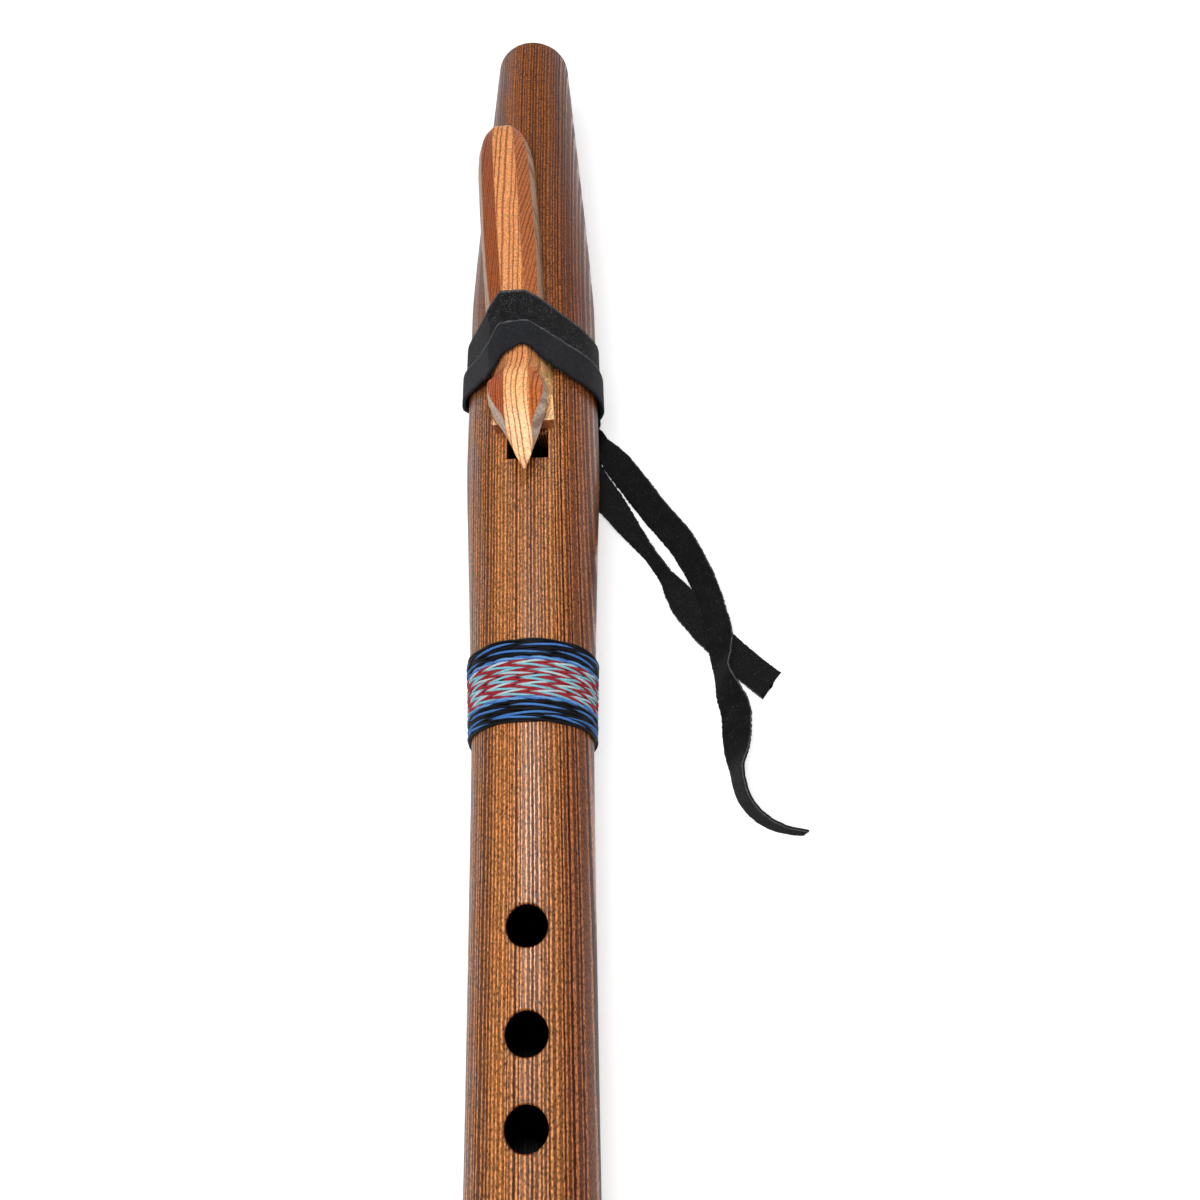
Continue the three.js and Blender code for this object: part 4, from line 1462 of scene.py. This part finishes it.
@dataclass(frozen=True)
class Tie:
    """The lace's two turns round the block's neck and the body.

    Each row of a turn has the angle in degrees, the share of the spread toward the mouth end, the layer
    and the share of the broad width. The steps are those of the arcs round the body, the block's four
    upper corners and the body again, and of the straight runs between them. The wear is how uneven the
    lace's edges are, on the foot side and on the mouth side.
    """

    lace: Lace = Lace()
    knot: Knot = Knot()
    clearance: float = 0.1
    layer_gap: float = 0.05
    spread: float = 20
    line_step: float = 0.5
    arc_steps: tuple[int, ...] = (36, 5, 5, 5, 5, 60)
    run_steps: tuple[int, ...] = (14, 5, 5, 5, 14)
    edge_wear: tuple[float, float] = (0.12, 0.35)
    first_turn_shares: tuple = (
        (-46, 0.05, 0, 0), (-28, 0.04, 0, 0.1), (-5, 0, 1, 0.3), (28, -0.04, 1, 0.55), (80, -0.05, 1, 0.55),
        (92, 0.045, 1, -0.22), (103, -0.07, 1, 0.55), (111, -0.28, 1, 0.65), (122, -0.2, 1, 0.15),
        (148, -0.03, 1, 0.24), (180, 0.1, 1, 0.2), (235, 0.7, 1, 0), (250, 0.78, 0, 0), (314, 0.825, 0, 0),
    )
    second_turn_shares: tuple = (
        (-46, 0.825, 0, 0), (0, 0.6, 0, 0.5), (28, 0.465, 0, 0.85), (60, 0.51, 0, 1), (92, 0.55, 0, 1),
        (101, 0.54, 0, 1), (112, 0.36, 0, 0.9), (148, 0.525, 0, 0.75), (180, 0.66, 0, 0.5),
        (215, 0.3, 0, 0.2), (235, 0.17, 0, 0), (314, 0.05, 0, 0),
    )

    def line(
        self, place: float, start: float, end: float, flute: FluteBody, block: BirdBlock, tables: tuple
    ) -> np.ndarray:
        """The lace's line round the body and the block's neck at a place.

        Args:
            place: Place along the flute.
            start: Angle on the body where the line starts, in radians.
            end: Angle on the body where it ends.
            flute: The body.
            block: The block.
            tables: The block's tables.

        Returns:
            Rows of x, z and the outward direction's x and z, as many for every place.
        """
        right, left, heights = block.section(place - block.place, tables)
        middle = block.middle(place)
        offset = self.clearance + self.lace.thickness / 2
        body = (0.0, 0.0, flute.nest_radius + offset)
        turning = ((right, SHOULDER), (right, CREST), (left, CREST), (left, SHOULDER))
        corners = [(middle + side[corner], heights[corner], offset) for side, corner in turning]
        circles = [body, *corners, body]
        rows = []
        angle = start
        for index, circle in enumerate(circles):
            following = circles[index + 1] if index + 1 < len(circles) else None
            leave = end
            if following:
                dx, dz = following[0] - circle[0], following[1] - circle[1]
                leave = math.atan2(dz, dx) - math.acos((circle[2] - following[2]) / math.hypot(dx, dz))
                leave = max(angle, leave - FULL_TURN * round((leave - angle) / FULL_TURN))
            steps = self.arc_steps[index]
            rows += [on_circle(circle, lerp(angle, leave, step / steps)) for step in range(steps + 1)]
            if following:
                first, last = on_circle(circle, leave), on_circle(following, leave)
                steps = self.run_steps[index]
                rows += [lerp(first, last, step / steps) for step in range(1, steps)]
            angle = leave
        return np.array(rows)

    def turn(
        self, rows: Sequence[Sequence[float]], start: float, end: float, flute: FluteBody, block: BirdBlock
    ) -> list[np.ndarray]:
        """One turn of the lace as rings of points.

        Args:
            rows: The turn's rows.
            start: Angle where the turn starts, in radians.
            end: Angle where it ends.
            flute: The body.
            block: The block.

        Returns:
            The rings.
        """
        tables = block.tables()
        angles, *columns = np.array(rows, float).T
        knot_place = self.knot.place
        places = np.arange(knot_place - self.spread, knot_place + 2 * self.spread, self.line_step)
        lines = np.array([self.line(place, start, end, flute, block, tables) for place in places])
        middle = self.line(knot_place, start, end, flute, block, tables)
        polar = math.degrees(start)
        rings = []
        for index, (x, z, _, _) in enumerate(middle):
            turned = math.degrees(math.atan2(z, x))
            polar = turned + 360 * round((polar - turned) / 360)
            spread_share, layer, broadness = (np.interp(polar, angles, column) for column in columns)
            place = knot_place + spread_share * self.spread
            lift = layer * (self.lace.thickness + self.layer_gap)
            width = lerp(self.lace.width, self.lace.broad_width, broadness)
            ring = []
            for share, height in self.lace.outline():
                edge_place = place + share * width / 2
                if abs(share) > self.lace.edge_share:
                    edge_place += ragged((x, edge_place, z), self.edge_wear[share > 0])
                at = (edge_place - places[0]) / self.line_step
                row = min(int(at), len(places) - 2)
                px, pz, ox, oz = lerp(lines[row, index], lines[row + 1, index], at - row)
                rise = lift + height * self.lace.thickness / 2
                ring.append((px + ox * rise, flute.y(edge_place), pz + oz * rise))
            rings.append(np.array(ring))
        return rings

    def build(self, flute: FluteBody, block: BirdBlock, finishes: Finishes) -> None:
        """Builds the tie, pressed flat where the flute rests on it.

        Args:
            flute: The body.
            block: The block.
            finishes: The materials.
        """
        knot = self.knot.angle
        gap = (self.knot.width / 2 + self.knot.gap) / flute.nest_radius
        first = self.turn(self.first_turn_shares, knot + gap, knot + FULL_TURN, flute, block)
        second = self.turn(self.second_turn_shares, knot, knot + FULL_TURN - gap, flute, block)[1:]
        for ring in first + second:
            ring[:, 2] = np.maximum(ring[:, 2], -flute.axis_height)
        piece = loft("tie", first + second)
        mark_points(piece, "rim", np.tile(self.lace.rims(both=False), len(first) + len(second)))
        counts = [len(rings) * len(rings[0]) for rings in (first, second)]
        mark_points(piece, "smooth", np.repeat((1, 0), counts))
        mark_points(piece, "worn", np.repeat((0.2, 1), counts))
        finish_lace(piece, finishes, ["tie_lace"])


@dataclass(frozen=True)
class LooseEnd:
    """A loose end of the lace, which lies on the table.

    The route's points are x, y from the knot's middle and height above the table. Each row of the twist
    gives a share of the route, the lace's roll in degrees, with its right edge up where it is above 0,
    and its width. Each row of the root puts one more ring before the route, with its move from the first
    ring and its size beside that ring's.
    """

    name: str
    node: str
    route: tuple[Place, ...]
    length: float
    twist: tuple[Place, ...]
    tip_slant: float
    root: tuple[tuple[float, float, float, float], ...] = ()
    lace: Lace = Lace()
    ring_step: float = 0.6
    edge_wear: float = 0.3
    tip_wear: float = 0.9
    tip_start: float = 0.985

    def centres(self, flute: FluteBody) -> np.ndarray:
        """Points along the route, evenly spaced, with heights above the table.

        Args:
            flute: The body.

        Returns:
            The points.
        """
        points = self.route + np.array((0, flute.y(Knot.place), 0))
        padded = np.vstack((2 * points[0] - points[1], points, 2 * points[-1] - points[-2]))
        dense = []
        for a, b, c, d in zip(padded, padded[1:], padded[2:], padded[3:]):
            for t in np.arange(0, 1, 0.05):
                bend = (2 * a - 5 * b + 4 * c - d) * t**2 + (3 * b - a - 3 * c + d) * t**3
                dense.append((2 * b + (c - a) * t + bend) / 2)
        dense = np.array([*dense, points[-1]])
        runs = np.append(0, np.cumsum(np.linalg.norm(np.diff(dense, axis=0), axis=1)))
        marks = spaced(0, runs[-1], self.ring_step)
        return np.column_stack([np.interp(marks, runs, column) for column in dense.T])

    def rings(self, flute: FluteBody) -> tuple[list[np.ndarray], np.ndarray]:
        """The ribbon's rings and their centres, with heights from the bore's axis.

        Args:
            flute: The body.

        Returns:
            The rings, then their centres.
        """
        centres = self.centres(flute) - (0, 0, flute.axis_height)
        twist = SmoothTable(self.twist)
        rise = Vector((0, 0, 1))
        last = len(centres) - 1
        rings = []
        for index, centre in enumerate(centres):
            ahead = Vector(centres[min(index + 1, last)] - centres[max(index - 1, 0)]).normalized()
            level = rise.cross(ahead).normalized()
            share = index / last
            roll, width = twist.at(share)
            turn = math.radians(roll)
            side = level * math.cos(turn) + rise * math.sin(turn)
            up = ahead.cross(side).normalized()
            ring = []
            for across, height in self.lace.outline():
                reach = across * width / 2
                if abs(across) > self.lace.edge_share:
                    reach += ragged(centre + np.array(side) * reach, self.edge_wear, 1.3)
                point = Vector(centre) + side * reach + up * (height * self.lace.thickness / 2)
                if share > self.tip_start:
                    point += ahead * (self.tip_slant * across + ragged(point, self.tip_wear, 1.1))
                ring.append(tuple(point))
            rings.append(np.array(ring))
        rows = np.array(self.root).reshape(-1, 4)
        root = [centres[0] + row[:3] + (rings[0] - centres[0]) * row[3] for row in rows]
        return root + rings, np.vstack((centres[0] + rows[:, :3], centres))

    def build(self, flute: FluteBody, finishes: Finishes) -> list[np.ndarray]:
        """Args:
            flute: The body.
            finishes: The materials.

        Returns:
            Its rings.
        """
        rings, centres = self.rings(flute)
        piece = loft(self.name, rings)
        mark_points(piece, "rim", np.tile(self.lace.rims(both=True), len(rings)))
        finish_lace(piece, finishes, [self.node])
        path = placed(centres).tolist()
        return rings


LONG_END = LooseEnd(
    name="loose_end_long",
    node="lace_end_long",
    route=(
        (20.7, -5.5, 3.8), (24.4, -12, 3.6), (29.1, -19.9, 3.7), (36.6, -32.9, 3.8), (43.5, -43.5, 3.8),
        (48, -54.1, 4.6), (50.6, -62.6, 4.9), (52.2, -70.3, 5.2), (53.2, -77.2, 5.4), (53, -83.2, 5.7),
        (52.9, -89.8, 6.2), (54.2, -95.7, 5.4), (55.8, -101, 4.6), (55.7, -107.4, 4.8), (55, -114, 6),
        (54.6, -120, 7), (55, -124.6, 7), (56.4, -128.8, 6.7), (59.2, -132.4, 6.1), (62.9, -134.9, 5.3),
        (67.2, -136.3, 4.4), (71.6, -137, 3.9),
    ),
    length=150.6,
    twist=(
        (0, 10, 5), (0.03, 18, 7.5), (0.07, 27, 9.3), (0.111, 32, 9.5), (0.211, 35, 9.4), (0.295, 33, 9.2),
        (0.371, 36, 8.8), (0.43, 28, 8.2), (0.483, 25, 8), (0.529, 28, 8.2), (0.569, 42, 8),
        (0.613, 66, 8.6), (0.654, 45, 9.2), (0.691, 30, 9.3), (0.733, 31, 9), (0.778, 50, 9.2),
        (0.819, 75, 9.4), (0.849, 78, 9.2), (0.879, 80, 8), (0.909, 82, 6.8), (0.94, 82, 5.1),
        (0.97, 80, 3.3), (1, 75, 2),
    ),
    tip_slant=0.6,
    root=((-4.2, 6.5, -0.6, 0.9), (-3.2, 4.9, -0.4, 1.1), (-2.1, 3.2, -0.2, 1.2), (-1, 1.6, -0.1, 1.1)),
)
SHORT_END = LooseEnd(
    name="loose_end_short",
    node="lace_end_short",
    route=(
        (15, -6.4, 1), (15.5, -11.8, 1.1), (16.8, -16.2, 1.2), (18.9, -20.6, 1.3), (22.7, -27.4, 1.5),
        (26.4, -34, 1.8), (30.8, -42, 2.7), (35, -49.2, 3.2), (38.4, -55.4, 3.4), (41.6, -61, 2.8),
        (44.3, -66.1, 2.4), (47.3, -70.7, 2.3), (50.8, -75.7, 2.4), (54, -79.4, 2.5), (57, -82.8, 2.5),
        (60.2, -86.4, 2.6), (63.7, -90, 2.7), (66.9, -93.2, 2.8),
    ),
    length=102.5,
    twist=(
        (0, 2, 9.5), (0.2, 2, 9.4), (0.295, 6, 7.8), (0.385, 26, 5.8), (0.466, 45, 4.7), (0.535, 42, 5),
        (0.598, 13, 7.6), (0.655, 5, 9.2), (0.8, 2, 9.5), (1, 2, 9.9),
    ),
    tip_slant=-0.6,
)


@dataclass(frozen=True)
class Fray:
    """Loose fibres along the cut edges of the loose ends."""

    fibre_length: float = 0.55
    fibre_radius: float = 0.035
    every: float = 0.5
    spray: float = 0.9
    least_size: float = 0.25
    seed: int = 7

    def tree(self) -> Tree:
        """Builds the node tree that stands a fibre on points along an edge.

        Returns:
            The tree.
        """
        bench, given, result = node_group("fray", "GeometryNodeTree", {
            "Edge": GEOMETRY, **dict.fromkeys(("Every", "Length", "Radius", "Spray", "Least Size"), FLOAT),
            "Seed": INTEGER, "Material": MATERIAL,
        }, {"Fibres": GEOMETRY})
        curve = bench.add("GeometryNodeMeshToCurve", {0: given["Edge"]})
        feeds = {"Curve": curve.outputs[0], "Length": given["Every"]}
        points = bench.add("GeometryNodeCurveToPoints", feeds, mode="LENGTH")
        outward = bench.add("GeometryNodeInputNamedAttribute", {"Name": "outward"}, data_type="FLOAT_VECTOR")
        least = bench.vector("SUBTRACT", (0, 0, 0), given["Spray"])
        feeds = {0: least, 1: given["Spray"], "Seed": given["Seed"]}
        spray = bench.add("FunctionNodeRandomValue", feeds, data_type="FLOAT_VECTOR")
        way = bench.vector("ADD", outward.outputs[0], spray.outputs[0])
        turn = bench.add("FunctionNodeAlignRotationToVector", {"Vector": way}, axis="Z")
        feeds = {2: given["Least Size"], 3: 1.0, "Seed": given["Seed"]}
        size = bench.add("FunctionNodeRandomValue", feeds, data_type="FLOAT")
        cone = bench.add("GeometryNodeMeshCone", {
            "Vertices": 4, "Radius Top": 0.0, "Radius Bottom": given["Radius"], "Depth": given["Length"],
        })
        fibres = bench.add("GeometryNodeInstanceOnPoints", {
            "Points": points.outputs[0], "Instance": cone.outputs[0], "Rotation": turn.outputs[0],
            "Scale": size.outputs[1],
        })
        return end_tree(bench, result, fibres.outputs[0], given["Material"])

    def build(self, ribbons: Sequence[list[np.ndarray]], finishes: Finishes) -> None:
        """Builds the fibres.

        Args:
            ribbons: The rings of each loose end.
            finishes: The materials.
        """
        points: list[np.ndarray] = []
        outward: list[np.ndarray] = []
        edges: list[tuple[int, int]] = []
        corners = [i for i, corner in enumerate(Lace().outline()) if corner in ((1.0, 0.0), (-1.0, 0.0))]
        for rings in ribbons:
            for corner in corners:
                for row, ring in enumerate(rings):
                    if row:
                        edges.append((len(points) - 1, len(points)))
                    points.append(ring[corner])
                    way = ring[corner] - ring.mean(axis=0)
                    outward.append(way / np.linalg.norm(way))
        mesh = bpy.data.meshes.new("lace_fray")
        mesh.from_pydata(placed(points).tolist(), edges, [])
        piece = new_object("lace_fray", mesh)
        mark_points(piece, "outward", outward)
        run_nodes(piece, self.tree(), {
            "Every": self.every * MM, "Length": self.fibre_length * MM, "Radius": self.fibre_radius * MM,
            "Spray": self.spray, "Least Size": self.least_size, "Seed": self.seed,
            "Material": finishes.get(Suede.LACE),
        })
        finish_lace(piece, finishes, [], crease=35)


@dataclass(frozen=True)
class ThreadTurn:
    """One turn of a two-ply thread: its plies' colours and how often they twist."""

    first: Thread
    second: Thread
    twists: float


@dataclass(frozen=True)
class Stripe:
    """The thread's turns in one stripe of the winding, from the foot side up."""

    name: str
    node: str
    slot: str
    turns: tuple[ThreadTurn, ...]


@dataclass(frozen=True)
class Winding:
    """The thread wound round the waist: two plies for each thread, laid turn by turn."""

    place: float = 235.3
    pitch: float = 1.0
    ply_radius: float = 0.33
    ply_offset: float = 0.24
    sleeve_rise: float = 0.22
    sleeve_inset: float = 0.35
    lift: float = 0.5
    steps: int = 120
    sides: int = 8
    sleeve_steps: int = 96
    stripes: tuple[Stripe, ...] = (
        Stripe("winding_lower", "thread_stripe_lower", "blue_thread", (
            ThreadTurn(Thread.BLACK, Thread.BLACK, 4.3), ThreadTurn(Thread.BLUE, Thread.BLACK, 7.44),
            ThreadTurn(Thread.BLACK, Thread.BLUE, -5.05), ThreadTurn(Thread.BLACK, Thread.BLACK, 6.7),
            ThreadTurn(Thread.BLUE, Thread.BLACK, 6.3), ThreadTurn(Thread.BLACK, Thread.BLACK, 9),
            ThreadTurn(Thread.PALE_BLUE, Thread.BLUE, 11),
        )),
        Stripe("winding_middle", "thread_stripe_middle", "red_thread", (
            ThreadTurn(Thread.RED, Thread.AQUA, 10.4), ThreadTurn(Thread.RED, Thread.WHITE, -10.2),
            ThreadTurn(Thread.RED, Thread.AQUA, 11.5), ThreadTurn(Thread.RED, Thread.WHITE, -11.4),
            ThreadTurn(Thread.AQUA, Thread.RED, 10.5), ThreadTurn(Thread.RED, Thread.AQUA, -11.6),
            ThreadTurn(Thread.RED, Thread.WHITE, 10.3), ThreadTurn(Thread.RED, Thread.AQUA, -10.1),
            ThreadTurn(Thread.RED, Thread.AQUA, 11.3), ThreadTurn(Thread.RED, Thread.WHITE, -11.2),
        )),
        Stripe("winding_upper", "thread_stripe_upper", "blue_thread", (
            ThreadTurn(Thread.PALE_BLUE, Thread.BLUE, 11), ThreadTurn(Thread.BLACK, Thread.BLACK, 9),
            ThreadTurn(Thread.BLUE, Thread.BLACK, 5.57), ThreadTurn(Thread.BLACK, Thread.BLACK, -7.2),
            ThreadTurn(Thread.BLUE, Thread.BLACK, -6.8), ThreadTurn(Thread.BLACK, Thread.BLACK, 4.6),
        )),
    )

    def tree(self) -> Tree:
        """Builds the node tree of one ply of a thread's turn.

        Returns:
            The tree.
        """
        sizes = (
            "Start", "Pitch", "First Radius", "Last Radius", "Axis Height", "Ply Offset", "Ply Radius",
            "Twists", "Phase",
        )
        bench, given, result = node_group("thread_ply", "GeometryNodeTree", {
            "Seed Mesh": GEOMETRY, "Steps": INTEGER, "Sides": INTEGER, **dict.fromkeys(sizes, FLOAT),
            "Material": MATERIAL,
        }, {"Ply": GEOMETRY})
        line = bench.add("GeometryNodeMeshLine", {"Count": bench.math("ADD", given["Steps"], 1.0)})
        index = bench.add("GeometryNodeInputIndex").outputs[0]
        turn = bench.math("DIVIDE", index, given["Steps"])
        angle = bench.math("MULTIPLY_ADD", turn, FULL_TURN, -math.pi / 2)
        along = bench.math("MULTIPLY_ADD", turn, given["Pitch"], given["Start"])
        growth = bench.math("SUBTRACT", given["Last Radius"], given["First Radius"])
        radius = bench.math("MULTIPLY_ADD", turn, growth, given["First Radius"])
        twist = bench.math("MULTIPLY", turn, given["Twists"])
        twist = bench.math("MULTIPLY_ADD", twist, FULL_TURN, given["Phase"])
        radius = bench.math("MULTIPLY_ADD", bench.math("COSINE", twist), given["Ply Offset"], radius)
        along = bench.math("MULTIPLY_ADD", bench.math("SINE", twist), given["Ply Offset"], along)
        x = bench.math("MULTIPLY", radius, bench.math("COSINE", angle))
        z = bench.math("MULTIPLY_ADD", radius, bench.math("SINE", angle), given["Axis Height"])
        place = bench.add("ShaderNodeCombineXYZ", {0: x, 1: along, 2: z})
        feeds = {"Geometry": line.outputs[0], "Position": place.outputs[0]}
        moved = bench.add("GeometryNodeSetPosition", feeds)
        curve = bench.add("GeometryNodeMeshToCurve", {0: moved.outputs[0]})
        feeds = {"Resolution": given["Sides"], "Radius": given["Ply Radius"]}
        circle = bench.add("GeometryNodeCurvePrimitiveCircle", feeds)
        feeds = {"Curve": curve.outputs[0], "Profile Curve": circle.outputs[0], "Fill Caps": True}
        tube = bench.add("GeometryNodeCurveToMesh", feeds)
        return end_tree(bench, result, tube.outputs[0], given["Material"])

    def ply(self, tree: Tree, values: dict[str, object]) -> Piece:
        """Makes one ply of a thread's turn as a plain mesh.

        Args:
            tree: The ply's node tree.
            values: What goes into each input.

        Returns:
            The ply.
        """
        mesh = bpy.data.meshes.new("ply")
        mesh.from_pydata([(0, 0, 0)], [], [])
        piece = new_object("ply", mesh)
        run_nodes(piece, tree, values)
        return piece

    def sleeve(
        self, start: float, end: float, flute: FluteBody, outside: SmoothTable, finishes: Finishes
    ) -> Piece:
        """A thin black sleeve under a stripe, painted shade that shows between its turns.

        Args:
            start: Where it starts, from the foot end.
            end: Where it ends.
            flute: The body.
            outside: The body's outside.
            finishes: The materials.

        Returns:
            The layer, as a closed tube.
        """
        first, last = outside.first(start), outside.first(end)
        rise = self.sleeve_rise
        profile = ((start, first - rise), (start, first + rise), (end, last + rise), (end, last - rise))
        rings = [
            [(radius * math.cos(turn), flute.y(place), radius * math.sin(turn)) for place, radius in profile]
            for turn in np.linspace(0, FULL_TURN, self.sleeve_steps, endpoint=False)
        ]
        piece = closed_loop("sleeve", rings)
        piece.data.materials.append(finishes.get(Thread.BLACK))
        return piece

    def build(self, flute: FluteBody, finishes: Finishes) -> None:
        """Builds the three stripes, one mesh for each.

        Args:
            flute: The body.
            finishes: The materials.
        """
        tree = self.tree()
        outside = flute.outside()
        place = self.place
        for stripe in self.stripes:
            plies = []
            foot_side = place
            for turn in stripe.turns:
                start, place = place, place + self.pitch
                shared = {
                    "Steps": self.steps, "Sides": self.sides, "Start": flute.y(start) * MM,
                    "Pitch": self.pitch * MM, "First Radius": (outside.first(start) + self.lift) * MM,
                    "Last Radius": (outside.first(place) + self.lift) * MM,
                    "Axis Height": flute.axis_height * MM, "Ply Offset": self.ply_offset * MM,
                    "Ply Radius": self.ply_radius * MM, "Twists": turn.twists,
                }
                for colour, phase in ((turn.first, 0.0), (turn.second, math.pi)):
                    values = {**shared, "Phase": phase, "Material": finishes.get(colour)}
                    plies.append(self.ply(tree, values))
            inset = self.sleeve_inset
            # The black sleeve paints shade in the gaps between the thread's turns.
            plies.append(self.sleeve(foot_side + inset, place - inset, flute, outside, finishes))
            piece = join(stripe.name, plies)
            finish_piece(
                piece, finishes.get(Thread.BLUE), stripe.slot, FLUTE_BODY, [stripe.node], crease=80
            )


@dataclass(frozen=True)
class Studio:
    """The camera, the lights and the white table, with places in millimetres in the model's frame."""

    eye: Place = (25.83, -125.49, 294.21)
    right: Place = (0.99880, -0.02781, -0.04043)
    up: Place = (0.04375, 0.87787, 0.47689)
    lens: float = 33
    film_width: float = 36
    nearest: float = 10
    ambient: float = 0.32
    overhead: float = 0.04
    overhead_rise: float = 0.45
    key_share: float = 0.72
    key_place: Place = (-170, -300, 1100)
    key_size: float = 700
    shine_share: float = 1.1
    shine_place: Place = (60, 215, 1088)
    shine_size: float = 200
    fill_share: float = 0.06
    fill_place: Place = (700, -250, 900)
    fill_size: float = 900
    table_slope: float = -0.01953
    table_touch: float = 94
    table_reach: float = 4000
    table_colour: float = 0.75
    table_glow: float = 0.55

    def camera(self) -> None:
        """Sets up the photograph's camera."""
        right, up = Vector(self.right).normalized(), Vector(self.up).normalized()
        back = right.cross(up).normalized()
        up = back.cross(right)
        data = bpy.data.cameras.new("camera")
        data.lens = self.lens
        data.sensor_width = self.film_width
        data.clip_start = self.nearest * MM
        camera = new_object("camera", data)
        turn = Matrix((right, up, back)).transposed().to_4x4()
        camera.matrix_world = Matrix.Translation(Vector(self.eye) * MM) @ turn
        bpy.context.scene.camera = camera

    def light(self, name: str, place: Place, size: float, share: float, glossy: bool = False) -> None:
        """Adds a square soft light.

        Args:
            name: The light's name.
            place: Where it stands.
            size: Its side, in millimetres.
            share: How bright it makes a white surface that faces it at the flute.
            glossy: Whether it only shows in glossy surfaces, where the other lights don't.
        """
        data = bpy.data.lights.new(name, "AREA")
        distance = Vector(place).length * MM
        data.energy = share * math.pi**2 * distance**2
        data.shape = "SQUARE"
        data.size = size * MM
        light = new_object(name, data)
        light.visible_glossy = glossy
        light.visible_diffuse = not glossy
        light.location = Vector(place) * MM
        light.rotation_euler = (-Vector(place)).to_track_quat("-Z", "Y").to_euler()

    def seen_white(self, bench: NodeBench) -> Socket:
        """What tells a look of the camera, of a reflection or of a glass from other light.

        Args:
            bench: A bench on the nodes.

        Returns:
            1 where it is such a look, and 0 elsewhere.
        """
        path = bench.add("ShaderNodeLightPath")
        seen = bench.math("MAXIMUM", path.outputs["Is Camera Ray"], path.outputs["Is Glossy Ray"])
        return bench.math("MAXIMUM", seen, path.outputs["Is Transmission Ray"])

    def surroundings(self) -> None:
        """Sets up the white surroundings, which are dimmer overhead in a reflection."""
        world = bpy.data.worlds.new("surroundings")
        bench = clean_bench(world)
        _, _, rise = bench.parts(bench.add("ShaderNodeTexCoord").outputs["Generated"])
        mirrored = bench.add("ShaderNodeLightPath").outputs["Is Glossy Ray"]
        dimming = bench.ramp(rise, 0.0, self.overhead_rise, 0.0, 1 - self.overhead)
        strength = bench.math("MULTIPLY_ADD", self.seen_white(bench), 1 - self.ambient, self.ambient)
        strength = bench.math("SUBTRACT", strength, bench.math("MULTIPLY", mirrored, dimming))
        background = bench.add("ShaderNodeBackground", {"Color": WHITE, "Strength": strength})
        bench.add("ShaderNodeOutputWorld", {"Surface": background.outputs[0]})
        bpy.context.scene.world = world

    def table(self) -> None:
        """Adds the white table, which touches the tie and the foot of the flute."""
        reach = self.table_reach
        corners = []
        for x, y in ((-reach, -reach), (reach, -reach), (reach, reach), (-reach, reach)):
            corners.append(Vector((x, y, self.table_slope * (y - self.table_touch))) * MM)
        mesh = bpy.data.meshes.new("table")
        mesh.from_pydata(corners, [], [(0, 1, 2, 3)])
        material, bench = new_material("white_table")
        surface = bench.add("ShaderNodeBsdfDiffuse", {"Color": opaque((self.table_colour,) * 3)})
        strength = bench.math("MULTIPLY", self.seen_white(bench), self.table_glow)
        glow = bench.add("ShaderNodeEmission", {"Color": WHITE, "Strength": strength})
        both = bench.add("ShaderNodeAddShader", {0: surface.outputs[0], 1: glow.outputs[0]})
        bench.add("ShaderNodeOutputMaterial", {"Surface": both.outputs[0]})
        mesh.materials.append(material)
        new_object("table", mesh)

    def build(self) -> None:
        """Sets up the camera, the lights and the table."""
        self.camera()
        self.light("key", self.key_place, self.key_size, self.key_share)
        self.light("shine", self.shine_place, self.shine_size, self.shine_share, glossy=True)
        self.light("fill", self.fill_place, self.fill_size, self.fill_share)
        self.surroundings()
        self.table()
        bpy.context.scene.view_settings.view_transform = "Standard"


def main() -> None:
    """Builds the studio and every piece of the flute."""
    logging.basicConfig(level=logging.INFO, format="%(message)s")
    Studio().build()
    flute, block, finishes = FluteBody(), BirdBlock(), Finishes()
    ribbons = [end.build(flute, finishes) for end in (LONG_END, SHORT_END)]
    flute.build(finishes)
    block.build(flute, finishes)
    Tie().build(flute, block, finishes)
    Knot().build(flute, finishes)
    Fray().build(ribbons, finishes)
    Winding().build(flute, finishes)


if __name__ == "__main__":
    main()
